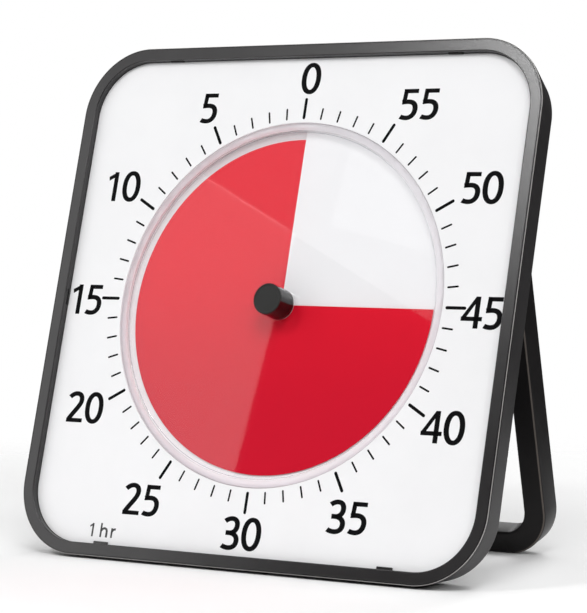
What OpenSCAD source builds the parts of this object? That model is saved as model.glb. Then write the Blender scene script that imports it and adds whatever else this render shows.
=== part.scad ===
// Visual countdown timer on a folding stand.
// Dial frame: x to the right, y up the dial, z out of the dial towards the reader.
// The dial plate's printed face is z = 0 and the spindle's axis is x = y = 0.
// Part frame: +X right, +Y to the rear, +Z up, origin on the table under the part's middle.

/* [Body] */
// Width and height of the front
body_w = 431; // [400:1:460]
// Outer corner radius of the front
corner_r = 58; // [50:1:70]
// Lean of the dial back from upright, in degrees
lean = 16; // [10:1:20]
// Width of the bezel's flat front
bezel_w = 10.5; // [9:0.5:14]
// Height of the bezel's front above the dial plate
bezel_rise = 6; // [5:0.5:8]
// Thickness of the bezel's front flange
flange_t = 2.2; // [1.8:0.1:2.6]
// Shadow gap between bezel and rear cover
seam_gap = 0.8; // [0.5:0.1:1.2]
// Depth of the body behind the dial plate's face
rear_depth = 35.6; // [35:0.2:44]
// Draft of the rear cover's sides, in degrees
draft = 14; // [8:1:15]
// Rounding of the rear cover's back edge
back_r = 8; // [5:0.5:9]
// Wall of the rear cover
cover_wall = 2.2; // [1.8:0.1:2.6]
// Walls inside the bezel
bezel_wall = 2; // [1.6:0.1:2.4]
// Inset of the bezel's inner skirt from the outside
skirt_inset = 5; // [4.5:0.1:5.5]
// Reach of the skirt below the dial plate
skirt_drop = 1; // [0.5:0.1:2]

/* [Dial] */
// Thickness of the printed dial plate
plate_t = 2; // [1.5:0.1:2.5]
// Radius of the dial plate's round opening
window_r = 150.2; // [140:0.2:155]
// Gap between the dial plate and the parts round it
plate_gap = 0.4; // [0.2:0.1:0.8]
// Length of a tab that holds the dial plate
tab_l = 11.5; // [8:0.5:16]
// Reach of a tab over the dial plate
tab_reach = 2.4; // [1.5:0.1:3.5]
// Thickness of a tab
tab_t = 1.8; // [1.2:0.1:2.5]
// Distance of the upper and lower tabs from the middle
tab_x = 132; // [110:1:150]
// Gap between a tab and the dial plate
tab_gap = 0.15; // [0.1:0.05:0.4]
// Depth of a tab's root in the bezel
tab_root = 0.5; // [0.3:0.1:1]

/* [Lens] */
// Width of the lens rim
lens_rim_w = 6.8; // [5:0.2:8]
// Thickness of the lens
lens_t = 1.8; // [1.5:0.1:2.4]
// Depth of the rim's front below the dial face
lens_sink = 0.5; // [0.3:0.1:0.8]
// Step from the rim's front down to the window's front
lens_step = 1.7; // [1.2:0.1:2.2]
// Radial gap between knob and lens
lens_knob_gap = 0.7; // [0.5:0.1:1.2]
// Radial gap between the lens and the bezel's carrier wall
carrier_gap = 2; // [1:0.1:3]

/* [Disc] */
// Radial distance from the red disc's edge to the dial plate's opening
disc_margin = 11.7; // [10:0.1:20]
// Thickness of the red and white sheets
sheet_t = 0.5; // [0.3:0.1:0.6]
// Rise of a sheet over one turn
sheet_pitch = 2.4; // [2.2:0.1:2.8]
// Depth of the white sheet's low edge below the dial face
sheet_depth = 10.8; // [10.4:0.1:11.4]
// Radial gap between the white sheet and the pan
sheet_gap = 0.2; // [0.1:0.1:0.5]
// Number of posts that carry the white sheet
sheet_post_n = 12; // [8:1:18]
// Diameter of a post under the white sheet
sheet_post_d = 4; // [3:0.5:6]
// Gap between a post and the white sheet
sheet_post_gap = 0.05; // [0.05:0.05:0.2]
// Radius of the disc's hub
hub_r = 12; // [9:0.5:12]
// Radial gap between hub and white sheet
hub_gap = 2.5; // [1.5:0.1:3]
// Height of the hub
hub_h = 3.4; // [3.2:0.1:3.8]
// Minutes of red showing at rest
set_minutes = 45; // [1:1:59]

/* [Knob and spindle] */
// Diameter of the knob
knob_d = 25.5; // [24.5:0.5:30]
// Height of the knob's face above the dial face
knob_rise = 14.5; // [10:0.5:20]
// Rounding of the knob's edge
knob_edge = 1.2; // [0.6:0.1:2]
// Thickness of the knob's face above the spindle's square
knob_face_t = 4; // [3:0.5:5]
// Running gap between the hub at its highest and the knob
knob_hub_gap = 0.4; // [0.3:0.1:1]
// Side of the spindle's square
square_w = 7; // [6.5:0.1:8]
// Sliding gap on each side of the square
square_gap = 0.05; // [0.03:0.01:0.1]
// Diameter of the spindle's journal
journal_d = 6; // [5:0.2:6.2]
// Running gap round a shaft
run_gap = 0.05; // [0.02:0.01:0.08]
// Outer diameter of the spindle's bush
bush_d = 10; // [9:0.5:12]
// Diameter of the bush's flange
bush_flange_d = 14; // [13:0.5:18]
// Thickness of the bush's flange
bush_flange_t = 0.4; // [0.3:0.1:0.5]
// Radial gap round the bush where it is pressed in
press_gap = 0.03; // [0.02:0.01:0.05]
// Height of the clutch spring under the main wheel
clutch_h = 0.9; // [0.8:0.1:1.2]
// Thickness of the clutch spring
clutch_t = 0.5; // [0.3:0.1:0.6]
// Radial width of the clutch spring
clutch_w = 5; // [4:0.5:6]
// Thickness of the retaining ring
ring_t = 0.8; // [0.6:0.1:1]
// Radial width of the retaining ring
ring_w = 2.9; // [2.4:0.1:3.4]
// Depth of the ring's groove in the spindle
groove_d = 0.5; // [0.3:0.1:0.8]
// Length of the spindle beyond the ring
tail_l = 1.6; // [1:0.1:2]

/* [Pan] */
// Floor of the pan
pan_floor = 1.3; // [1:0.1:1.8]
// Wall of the pan
pan_wall = 2; // [1.6:0.1:2.4]
// Gap under the red disc at its lowest
floor_gap = 1.3; // [1:0.1:1.6]
// Inset of the pan's wall from the lens's edge
pan_inset = 0.8; // [0.5:0.1:1.2]
// Width of the pan's flange beyond the dial plate's opening
pan_flange_w = 15; // [14:0.5:17]
// Thickness of the pan's flange
pan_flange_t = 2; // [1.6:0.1:2.4]
// Height of the bosses that carry the pan
pan_boss_h = 4; // [3.6:0.1:5]
// Number of pan screws
pan_screw_n = 6; // [4:1:8]

/* [Movement] */
// Height of the bosses under the movement plate
move_boss_h = 3.5; // [3:0.1:4]
// Thickness of the movement plate
move_plate_t = 1.6; // [1.4:0.1:2]
// Wall of the movement case
case_wall = 1.4; // [1.2:0.1:1.6]
// Gap between movement case and rear cover
case_gap = 0.4; // [0.3:0.1:0.8]
// Module of the gear teeth
gear_m = 0.8; // [0.75:0.01:0.82]
// Play of a tooth in its gap, along the pitch circle
backlash = 0.15; // [0.1:0.01:0.2]
// Teeth of the wheel on the spindle
main_teeth = 60; // [56:1:62]
// Teeth of the pinions
pinion_teeth = 12; // [12:1:13]
// Teeth of the idler wheel
idler_teeth = 48; // [44:1:50]
// Face width of the main wheel
main_face = 2; // [1.6:0.1:2.2]
// Face width of the idler wheel
idler_face = 1.4; // [1.2:0.1:1.6]
// Axial gap between the running wheels
wheel_gap = 1.2; // [1:0.1:1.4]
// Diameter of the idler's arbor and the motor's shaft
arbor_d = 2; // [1.6:0.1:2.4]
// Depth of the arbor's seat in the movement plate
arbor_seat = 0.8; // [0.6:0.1:1]
// Wall of the idler's hub
hub_wall = 1.4; // [1.2:0.1:1.8]
// Height of the idler's hub below its wheel
hub_drop = 0.6; // [0.4:0.1:0.8]
// Distance of the movement case's left side from the spindle
case_left_w = 84; // [82:1:90]
// Distance of the movement case's lower side from the spindle
case_low_h = 38; // [36:1:42]
// Margin of the case round the idler wheel and the motor
case_margin = 6; // [4:0.5:8]
// Radius of the case's screw ears
case_ear_r = 4.5; // [4:0.1:5]
// Distance of an ear's screw from the case
case_ear_out = 4; // [3.5:0.1:5]
// Diameter of the motor
motor_d = 20; // [16:0.5:22]
// Height of the motor
motor_h = 4.6; // [4:0.1:5]

/* [Circuit] */
// Width of the circuit board
board_w = 44; // [40:1:48]
// Height of the circuit board
board_h = 70; // [66:1:74]
// Thickness of the circuit board
board_t = 1.6; // [1:0.1:1.6]
// Gap between the circuit board and the case
board_gap = 1; // [0.5:0.1:2]
// Distance of the board's front from the movement plate
board_drop = 3.5; // [3:0.1:4]
// Diameter of a post that carries the board
post_d = 4; // [3:0.5:5]
// Distance of a board post from the board's edges
post_in = 3; // [2.5:0.5:4]
// Diameter of a sound hole
sound_hole_d = 2.4; // [1.5:0.1:3]
// Spacing of the sound holes
sound_hole_s = 4; // [3.5:0.5:6]
// Diameter of the buzzer
buzzer_d = 22; // [18:1:24]
// Height of the buzzer
buzzer_h = 4.6; // [4:0.1:4.8]
// Travel of the sound switch each way
switch_travel = 4; // [2:0.5:5]
// Length of the sound switch's button
button_l = 9; // [7:0.5:11]
// Width of the sound switch's button
button_w = 6; // [5:0.5:7]
// Gap round the sound switch's button
button_gap = 0.4; // [0.3:0.1:0.6]
// Height of the button above the rear cover
button_out = 1; // [0.5:0.1:1.5]
// Height of the switch's body on the board
switch_body = 4.4; // [4:0.1:4.8]
// Length of the switch's body
switch_body_l = 20; // [18:0.5:24]
// Width of the switch's body
switch_body_w = 7; // [6:0.5:8]
// Side of the switch's stem
stem_w = 3; // [2.5:0.1:3.5]

/* [Battery] */
// Diameter of a cell
cell_d = 14.5; // [14:0.1:14.5]
// Length of a cell
cell_l = 50.5; // [49:0.5:50.5]
// Gap round a cell
cell_gap = 0.25; // [0.2:0.05:0.4]
// Diameter of a cell's nub
nub_d = 5.5; // [5:0.1:5.5]
// Height of a cell's nub
nub_h = 1; // [0.8:0.1:1.2]
// Distance of the battery bay's middle from the spindle, along x
bay_left = 50; // [46:1:56]
// Gap between the movement case and the battery bay
bay_case_gap = 10; // [9.5:0.5:14]
// Length of a contact spring when loaded
spring_l = 5.5; // [4:0.5:7]
// Wall of the battery bay
bay_wall = 1.4; // [1.2:0.1:1.8]
// Thickness of the contact strips
strip_t = 0.4; // [0.3:0.1:0.5]
// Width of the contact strips
strip_w = 5; // [4:0.5:7]
// Thickness of the battery door
door_t = 2; // [1.6:0.1:2.2]
// Ledge under the door's edge
door_ledge = 3; // [2:0.5:4]
// Gap round the battery door
door_gap = 0.4; // [0.3:0.1:0.6]
// Width of the rib round the battery door
door_rib = 1.6; // [1.2:0.1:2]
// Length of the grip grooves in the battery door
grip_l = 16; // [12:1:24]
// Width and depth of a grip groove, and the walls between the grooves
grip_w = 1.2; // [1:0.1:1.4]

/* [Stand] */
// Outer width of the stand
stand_w = 346; // [320:1:356]
// Width of a leg, seen from behind
leg_w = 19; // [15:0.5:24]
// Depth of a leg, front to back
leg_t = 24.4; // [18:0.2:26]
// Outer radius of the stand's lower corners
stand_r = 39; // [30:1:60]
// Tilt of the open stand from upright, in degrees
stand_tilt = 14; // [10:1:18]
// Height of the hinge above the dial's middle, along the dial
hinge_y = 115.7; // [90:0.1:125]
// Gap between the folded stand and the rear cover
fold_gap = 0.8; // [0.5:0.1:1.5]
// Length of a leg above its hinge
heel_l = 15; // [12.5:0.5:20]
// Gap between the heel and the rear cover when open
heel_gap = 0.3; // [0.25:0.05:0.6]
// Diameter of a hinge pin
pin_d = 5; // [4:0.5:6]
// Thickness of a hinge ear
ear_t = 5; // [4:0.5:7]
// Radius of a hinge ear
ear_r = 9; // [7:0.5:10]
// Side gap between ear and leg
ear_gap = 0.4; // [0.3:0.1:0.8]

/* [Pads] */
// Depth of the body pads' front edge behind the dial face
pad_front = 6; // [2:0.5:12]
// Height that the pads hold the body off the table
pad_h = 0.8; // [0.6:0.1:1.5]
// Length of a pad under the body
body_pad_l = 44; // [30:1:60]
// Distance of the body's pads from the middle
body_pad_x = 130; // [100:1:145]
// Length of a pad under the stand
stand_pad_l = 40; // [30:1:60]
// Distance of the stand's pads from the middle
stand_pad_x = 95; // [70:1:105]
// Thickness of a pad under the stand
stand_pad_t = 1; // [0.8:0.1:1.5]
// Depth of the flat cut under the stand's cross bar
stand_cut = 2; // [1.5:0.1:3]
// Inset of a stand pad from the edges of that flat
stand_pad_in = 1; // [0.5:0.1:2]

/* [Screws] */
// Diameter of the cover screws
screw_d = 3; // [2.5:0.1:3.2]
// Head diameter of the cover screws
screw_head_d = 6; // [5.5:0.1:6.2]
// Head height of the cover screws
screw_head_h = 1.8; // [1.5:0.1:2.2]
// Clearance round a screw's shank or head
screw_gap = 0.25; // [0.2:0.05:0.4]
// Length of a cover screw's shank
screw_l = 10; // [8:0.5:11]
// Height of the bosses that the cover screws enter
boss_h = 8; // [6:0.5:10]
// Radius of the bosses that the cover screws enter
boss_r = 4.2; // [4:0.1:5]
// Thickness under a cover screw's head
seat_t = 3; // [2:0.5:4]
// Distance of the middle screws from the dial's middle
side_screw = 188; // [184:1:190]
// Distance of the corner screws from the dial's middle, along x and y
corner_screw = 172; // [168:1:176]
// Diameter of the small screws
small_d = 2; // [1.8:0.1:2.2]
// Head diameter of the small screws
small_head_d = 4; // [3.6:0.1:4.4]
// Head height of the small screws
small_head_h = 1.3; // [1:0.1:1.5]
// Length of the small screws' shanks
small_l = 5; // [4.5:0.1:5]
// Wall of the bosses that the small screws enter
small_wall = 2; // [1.6:0.1:2.4]

/* [Hidden] */
$fn = 96;
eps = 0.01;
half = body_w / 2;

// Body, along the dial's z
flange_z = bezel_rise - flange_t;
cover_z = flange_z - seam_gap;
back_z = -rear_depth;
cover_in_z = back_z + cover_wall;
inner_half = half - bezel_w;
inner_corner = corner_r - bezel_w;
skirt_half = half - skirt_inset;
skirt_corner = corner_r - skirt_inset;
skirt_bottom = -plate_t - skirt_drop;
carrier_z = -plate_t;
carrier_back = carrier_z - bezel_wall;
round_top_z = back_z + back_r * (1 - sin(draft));
round_in = (cover_z - round_top_z) * tan(draft);

// Lens, pan and disc
lens_r = window_r - plate_gap;
rim_front = -lens_sink;
window_front = rim_front - lens_step;
window_back = window_front - lens_t;
rim_back = -plate_t - plate_gap;
rim_in_r = lens_r - lens_rim_w;
knob_r = knob_d / 2;
disc_r = window_r - disc_margin;
pan_r = lens_r - pan_inset;
pan_in_r = pan_r - pan_wall;
pan_flange_r = window_r + pan_flange_w;
sheet_r = pan_in_r - sheet_gap;
carrier_r = lens_r + carrier_gap;
set_angle = 6 * set_minutes;
white_z = -sheet_depth;
red_low = white_z - sheet_pitch / 2 - sheet_t / 2;
pan_z = red_low - floor_gap;
pan_back = pan_z - pan_floor;
sheet_in_r = hub_r + hub_gap;
creep_down = sheet_pitch * set_minutes / 60;
creep_up = sheet_pitch - creep_down;
red_rest_low = white_z + sheet_pitch * (set_minutes / 60 - 0.5);
hub_z = red_rest_low - sheet_t;
hub_top = hub_z + hub_h;
knob_z = hub_top + creep_up + knob_hub_gap;
pan_flange_z = carrier_back - pan_boss_h;
pan_screw_r = (pan_flange_r + pan_r) / 2 + 1;

// Movement
bush_top = pan_z + bush_flange_t;
thrust_gap = 0.1;
shoulder_z = bush_top + thrust_gap;
plate_z = pan_back - move_boss_h;
move_z = plate_z - move_plate_t;
case_z = cover_in_z + case_gap;
main_top = move_z - wheel_gap;
main_z = main_top - main_face;
clutch_z = main_z - clutch_h;
ring_z = clutch_z - ring_t;
spindle_end = ring_z - tail_l;
idler_top = main_z - wheel_gap;
idler_z = idler_top - idler_face;
pinion_over = 0.3;
pressure = 20;
addendum = 0.7;
dedendum = 1.1;
rp_main = gear_m * main_teeth / 2;
rp_pinion = gear_m * pinion_teeth / 2;
rp_idler = gear_m * idler_teeth / 2;
idler_hub_z = idler_z - hub_drop;
idler_x = rp_main + rp_pinion;
motor_y = rp_idler + rp_pinion;
arbor_r = arbor_d / 2;
motor_gap = 0.3;
motor_top = idler_z - pinion_over - motor_gap;
motor_low = motor_top - motor_h;
motor_floor = 0.8;
case_left = -case_left_w;
case_right = idler_x + rp_idler + case_margin;
case_low = -case_low_h;
case_high = motor_y + motor_d / 2 + case_margin;
ear_in_upper = 40;
ear_in_right = 14;
ear_in_left = 6;
case_screws = [[case_left + ear_in_upper, case_high + case_ear_out],
    [case_right - ear_in_right, case_high + case_ear_out],
    [case_left + ear_in_left, case_low - case_ear_out],
    [case_right - ear_in_right, case_low - case_ear_out]];
board_x = case_left + case_wall + board_gap + board_w / 2;
board_y = (case_low + case_high) / 2;
board_top = move_z - board_drop;
board_z = board_top - board_t;
buzzer_x = board_x - 6;
buzzer_y = board_y - 20;
switch_x = board_x;
switch_y = board_y + 22;
slot_l = button_l + 2 * switch_travel + 2 * button_gap;
slot_w = button_w + 2 * button_gap;

// Battery bay
bay_x = -bay_left;
bay_play = 0.4;
bay_len = cell_l + spring_l + 2 * strip_t + bay_play;
pitch_y = cell_d + 2 * cell_gap;
bay_h = 2 * pitch_y;
bay_top = case_low - bay_case_gap;
bay_y = bay_top - bay_wall - bay_h / 2;
door_in_z = back_z + door_t;
cell_z = door_in_z + cell_gap + cell_d / 2;
bay_floor_z = cell_z + cell_d / 2 + cell_gap;
strip_x = [bay_x - bay_len / 2 + bay_play / 2, board_x + board_w / 2 - strip_w];
strip_gap = 0.5;
strip_in_z = bay_floor_z - strip_t;
strip_out_y = bay_top + 1;
door_w = bay_len + 2 * door_ledge;
door_h = bay_h + 2 * door_ledge;

// Stand and floor
leg_half = leg_t / 2;
pivot_z = back_z - fold_gap - leg_half;
stand_half = stand_w / 2;
bottom_y = -(half - round_in);
floor_rel = bottom_y * cos(lean) + round_top_z * sin(lean) - pad_h;
pivot_py = -pivot_z * cos(lean) + hinge_y * sin(lean);
pivot_pz = hinge_y * cos(lean) + pivot_z * sin(lean);
drop = pivot_pz - floor_rel;
leg_down = (drop - stand_pad_t + stand_cut - leg_half * sin(stand_tilt)) / cos(stand_tilt);
foot_back = pivot_py + leg_down * sin(stand_tilt) + leg_half * cos(stand_tilt);
front_py = -bezel_rise * cos(lean) - half * sin(lean);
shift_y = -(foot_back + front_py) / 2;

// Screw places on the rear cover, and tabs round the dial
cover_spots = concat([for (a = [0:90:270]) side_screw * [cos(a), sin(a)]],
    [for (i = [-1, 1], j = [-1, 1]) corner_screw * [i, j]]);
boss_end = carrier_back - boss_h;
seat_z = boss_end - seat_t;
tab_spots = [[-tab_x, 1, 0], [tab_x, 1, 0], [-tab_x, -1, 0], [tab_x, -1, 0], [0, 1, 90], [0, -1, 90]];

// Moves the dial frame into the part frame
module dial_frame() {
    translate([0, shift_y, -floor_rel]) rotate([90 - lean, 0, 0]) children();
}

// Moves the stand's frame, hinge at the origin and y up the legs, into the part frame
module stand_frame() {
    translate([0, shift_y + pivot_py, pivot_pz - floor_rel]) rotate([90 + stand_tilt, 0, 0]) children();
}

// Square with round corners, from half its width and its corner radius
module round_square(h, r) {
    square([2 * h, 2 * (h - r)], center = true);
    square([2 * (h - r), 2 * h], center = true);
    for (i = [-1, 1], j = [-1, 1]) translate([i * (h - r), j * (h - r)]) circle(r);
}

// Frame between two round squares, from z0 to z1
module frame_ring(h, r, h_in, r_in, z0, z1) {
    translate([0, 0, z0]) linear_extrude(z1 - z0) difference() {
        round_square(h, r);
        round_square(h_in, r_in);
    }
}

// Ring or disc from z0 to z1
module ring(r, r_in, z0, z1) {
    difference() {
        translate([0, 0, z0]) cylinder(r = r, h = z1 - z0);
        if (r_in > 0) translate([0, 0, z0 - 1]) cylinder(r = r_in, h = z1 - z0 + 2);
    }
}

// Thin slice of the rear cover, drawn in by d from the front's outline
module cover_slice(d, z) {
    translate([0, 0, z]) linear_extrude(eps) round_square(half - d, corner_r - d, $fn = 48);
}

// Rear cover's body, drawn in all round by wall; its back edge is an arc
module cover_body(wall, z_back, z_front) {
    r = back_r - wall / 2;
    top = z_back + r * (1 - sin(draft));
    d0 = wall + (cover_z - z_front) * tan(draft);
    d1 = wall + (cover_z - top) * tan(draft);
    hull() {
        cover_slice(d0, z_front - eps);
        for (a = [draft:(90 - draft) / 4:90])
            cover_slice(d1 + r * (cos(draft) - cos(a)), top - r * (sin(a) - sin(draft)));
    }
}

// Involute function of an angle, in degrees
function inv(a) = tan(a) * 180 / PI - a;
// Half the angle of a tooth at radius r, in degrees
function tooth_half(n, r) = let (rp = gear_m * n / 2)
    90 / n - backlash / (2 * rp) * 180 / PI + inv(pressure) - inv(acos(min(1, rp * cos(pressure) / r)));

// Gear of n teeth with its first tooth on angle a0
module gear(n, a0, z0, z1, bore) {
    rp = gear_m * n / 2;
    r_out = rp + addendum * gear_m;
    r_root = rp - dedendum * gear_m;
    r_low = max(rp * cos(pressure), r_root + 0.05);
    radii = [for (k = [0:3]) r_low + (r_out - r_low) * k / 3];
    tooth = concat([[r_root, -tooth_half(n, r_low)]], [for (r = radii) [r, -tooth_half(n, r)]],
        [for (k = [3:-1:0]) [radii[k], tooth_half(n, radii[k])]], [[r_root, tooth_half(n, r_low)]]);
    points = [for (i = [0:n - 1], t = tooth) let (a = a0 + 360 * i / n + t[1]) t[0] * [cos(a), sin(a)]];
    translate([0, 0, z0]) linear_extrude(z1 - z0) difference() {
        polygon(points);
        circle(bore);
    }
}

// Sheet of one turn, radius r0 to r1, its low edge on angle a0 at height z0, rising anticlockwise
module spiral_sheet(r0, r1, a0, z0) {
    n = 72;
    slit = 0.04;
    points = [for (i = [0:n])
        let (a = 90 + a0 + slit / 2 + (360 - slit) * i / n, z = z0 + sheet_pitch * i / n)
            each [for (p = [[r0, 1], [r1, 1], [r1, -1], [r0, -1]])
                [p[0] * cos(a), p[0] * sin(a), z + p[1] * sheet_t / 2]]];
    sides = [for (i = [0:n - 1], j = [0:3]) let (p = i * 4 + j, q = i * 4 + (j + 1) % 4)
        each [[p, q, q + 4], [p, q + 4, p + 4]]];
    polyhedron(points, concat(sides, [[3, 2, 1, 0], [for (j = [0:3]) n * 4 + j]]));
}

module front_bezel() {
    color([0.25, 0.25, 0.26]) {
        difference() {
            union() {
                frame_ring(half, corner_r, inner_half, inner_corner, flange_z, bezel_rise);
                frame_ring(inner_half + bezel_wall, inner_corner + bezel_wall, inner_half, inner_corner,
                    carrier_z - eps, flange_z + eps);
                frame_ring(skirt_half, skirt_corner, skirt_half - bezel_wall, skirt_corner - bezel_wall,
                    skirt_bottom, flange_z + eps);
                translate([0, 0, carrier_back]) linear_extrude(bezel_wall) difference() {
                    round_square(inner_half + bezel_wall, inner_corner + bezel_wall);
                    circle(carrier_r);
                }
                for (p = cover_spots) translate(p) ring(boss_r, 0, boss_end, carrier_back + eps);
                for (i = [0:pan_screw_n - 1]) rotate(360 * i / pan_screw_n) translate([pan_screw_r, 0])
                    ring(small_d / 2 + small_wall, 0, pan_flange_z, carrier_back + eps);
            }
            for (p = cover_spots) translate(p) ring(screw_d / 2, 0, boss_end - 1, carrier_back + 0.5);
            for (i = [0:pan_screw_n - 1]) rotate(360 * i / pan_screw_n) translate([pan_screw_r, 0])
                ring(small_d / 2, 0, pan_flange_z - 1, carrier_back + 0.5);
        }
        for (t = tab_spots) rotate(t[2]) translate([t[0] - tab_l / 2, t[1] * inner_half, tab_gap])
            translate([0, t[1] > 0 ? -tab_reach : -tab_root, 0])
                cube([tab_l, tab_reach + tab_root, tab_t]);
    }
}

module dial_plate() {
    color([0.96, 0.96, 0.96]) translate([0, 0, -plate_t]) linear_extrude(plate_t) difference() {
        round_square(inner_half - plate_gap / 2, inner_corner - plate_gap / 2);
        circle(window_r);
    }
}

module dial_pan() {
    color([0.92, 0.92, 0.92]) difference() {
        union() {
            ring(pan_r, pan_in_r, pan_z - eps, rim_back);
            ring(pan_r, 0, pan_back, pan_z);
            ring(pan_flange_r, pan_r - pan_wall / 2, pan_flange_z - pan_flange_t, pan_flange_z);
            for (p = case_screws) translate(p) ring(small_d / 2 + small_wall, 0, plate_z, pan_back + eps);
            for (i = [0:sheet_post_n - 1]) let (a = 360 * (i + 0.5) / sheet_post_n)
                rotate(90 + a) translate([pan_in_r - sheet_post_d / 4, 0])
                    ring(sheet_post_d / 2, 0, pan_z - eps,
                        white_z + sheet_pitch * a / 360 - sheet_t / 2 - sheet_post_gap);
        }
        ring(bush_d / 2 + press_gap, 0, pan_back - 1, pan_z + 1);
        for (i = [0:pan_screw_n - 1]) rotate(360 * i / pan_screw_n) translate([pan_screw_r, 0])
            ring(small_d / 2 + screw_gap, 0, pan_flange_z - pan_flange_t - 1, pan_flange_z + 1);
        for (p = case_screws) translate(p) ring(small_d / 2, 0, plate_z - 1, pan_back + 0.5);
    }
}

module lens() {
    lip_r = pan_in_r - sheet_gap;
    color([0.85, 0.9, 0.95, 0.3]) rotate_extrude() polygon([[knob_r + lens_knob_gap, window_back],
        [lip_r, window_back], [lip_r, rim_back], [lens_r, rim_back], [lens_r, rim_front],
        [rim_in_r, rim_front], [rim_in_r, window_front], [knob_r + lens_knob_gap, window_front]]);
}

module white_sheet() {
    color([0.95, 0.95, 0.95]) spiral_sheet(sheet_in_r, sheet_r, 0, white_z);
}

module red_disc() {
    color([0.82, 0.1, 0.16]) spiral_sheet(hub_r, disc_r, set_angle, red_rest_low);
}

module disc_hub() {
    color([0.8, 0.8, 0.82]) difference() {
        ring(hub_r - 0.02, 0, hub_z, hub_top);
        translate([0, 0, hub_z + hub_h / 2])
            cube([square_w + 2 * square_gap, square_w + 2 * square_gap, hub_h + 2], center = true);
    }
}

module knob() {
    bore_top = knob_rise - knob_face_t;
    color([0.14, 0.14, 0.15]) difference() {
        rotate_extrude() polygon(concat([[0, knob_z], [knob_r, knob_z]],
            [for (a = [0:15:90]) [knob_r - knob_edge * (1 - cos(a)), knob_rise - knob_edge * (1 - sin(a))]],
            [[0, knob_rise]]));
        translate([0, 0, (knob_z - 1 + bore_top) / 2])
            cube([square_w, square_w, bore_top - knob_z + 1], center = true);
    }
}

module spindle() {
    square_top = knob_rise - knob_face_t;
    color([0.7, 0.7, 0.72]) difference() {
        union() {
            ring(journal_d / 2, 0, spindle_end, shoulder_z + eps);
            translate([0, 0, (shoulder_z + square_top) / 2])
                cube([square_w, square_w, square_top - shoulder_z], center = true);
        }
        ring(journal_d, journal_d / 2 - groove_d, ring_z, clutch_z);
    }
}

module spindle_bush() {
    color([0.8, 0.65, 0.3]) {
        ring(bush_flange_d / 2, journal_d / 2 + run_gap, pan_z, bush_top);
        ring(bush_d / 2, journal_d / 2 + run_gap, main_top + thrust_gap, pan_z + eps);
    }
}

module main_wheel() {
    color([0.9, 0.9, 0.85]) gear(main_teeth, 0, main_z, main_top, journal_d / 2);
}

module clutch_spring() {
    r = journal_d / 2 + run_gap;
    color([0.6, 0.6, 0.62]) rotate_extrude() polygon([[r, clutch_z], [r + 0.4 * clutch_w, clutch_z],
        [r + clutch_w, main_z], [r + 0.7 * clutch_w, main_z], [r, clutch_z + clutch_t]]);
}

module retaining_ring() {
    r = journal_d / 2 - groove_d;
    color([0.5, 0.5, 0.52]) ring(r + ring_w, r, ring_z, clutch_z);
}

module idler_gear() {
    color([0.9, 0.9, 0.85]) translate([idler_x, 0]) {
        gear(pinion_teeth, 180 + 180 / pinion_teeth, idler_top - eps, main_top + pinion_over,
            arbor_r + run_gap);
        gear(idler_teeth, 90, idler_z, idler_top, arbor_r + run_gap);
        ring(arbor_r + hub_wall, arbor_r + run_gap, idler_hub_z, idler_z + eps);
    }
}

module idler_arbor() {
    color([0.7, 0.7, 0.72]) translate([idler_x, 0])
        ring(arbor_r, 0, case_z + case_wall / 2, move_z + arbor_seat);
}

module motor_pinion() {
    color([0.9, 0.9, 0.85]) translate([idler_x, motor_y]) {
        gear(pinion_teeth, 270 + 180 / pinion_teeth, idler_z - pinion_over, idler_top + pinion_over,
            0.8 * arbor_r);
        ring(arbor_r, 0, motor_low + motor_floor + thrust_gap, idler_top + 2 * pinion_over);
    }
}

module motor() {
    color([0.6, 0.6, 0.62]) translate([idler_x, motor_y]) difference() {
        ring(motor_d / 2, 0, motor_low, motor_top);
        ring(arbor_r + run_gap, 0, motor_low + motor_floor, motor_top + 1);
    }
}

module movement_plate() {
    color([0.2, 0.2, 0.22]) difference() {
        union() {
            translate([case_left, case_low, move_z])
                cube([case_right - case_left, case_high - case_low, move_plate_t]);
            for (p = case_screws) translate(p) ring(case_ear_r, 0, move_z, plate_z);
            for (i = [-1, 1], j = [-1, 1])
                translate([board_x + i * (board_w / 2 - post_in), board_y + j * (board_h / 2 - post_in)])
                    ring(post_d / 2, 0, board_top, move_z + eps);
        }
        ring(bush_d / 2 + press_gap, 0, move_z - 1, plate_z + 1);
        translate([idler_x, 0]) ring(arbor_r, 0, move_z - 1, move_z + arbor_seat);
        for (p = case_screws) translate(p) ring(small_d / 2 + screw_gap, 0, move_z - 1, plate_z + 1);
    }
}

module movement_case() {
    w = case_right - case_left;
    h = case_high - case_low;
    color([0.2, 0.2, 0.22]) difference() {
        translate([case_left, case_low, case_z]) cube([w, h, move_z - case_z]);
        translate([case_left + case_wall, case_low + case_wall, case_z + case_wall])
            cube([w - 2 * case_wall, h - 2 * case_wall, move_z - case_z]);
        translate([idler_x, 0]) ring(arbor_r, 0, case_z + case_wall / 2, case_z + case_wall + 1);
        translate([switch_x, switch_y, case_z]) cube([slot_l, slot_w, 4 * case_wall], center = true);
        sound_holes(case_z, case_z + case_wall);
        for (x = strip_x) translate([x - strip_gap, case_low - 1, board_z - strip_t - strip_gap])
            cube([strip_w + 2 * strip_gap, case_wall + 2, strip_t + 2 * strip_gap]);
    }
    color([0.2, 0.2, 0.22]) {
        translate([idler_x, motor_y]) ring(0.8 * motor_d / 2, 0, case_z + case_wall - eps, motor_low);
        translate([idler_x, 0])
            ring(arbor_r + hub_wall, arbor_r, case_z + case_wall - eps, idler_hub_z - thrust_gap);
    }
}

// Three by three sound holes between z0 and z1, in the case and the rear cover
module sound_holes(z0, z1) {
    for (i = [-1:1], j = [-1:1])
        translate([buzzer_x + sound_hole_s * i, buzzer_y + sound_hole_s * j, 0])
            ring(sound_hole_d / 2, 0, z0 - 1, z1 + 1);
}

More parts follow.
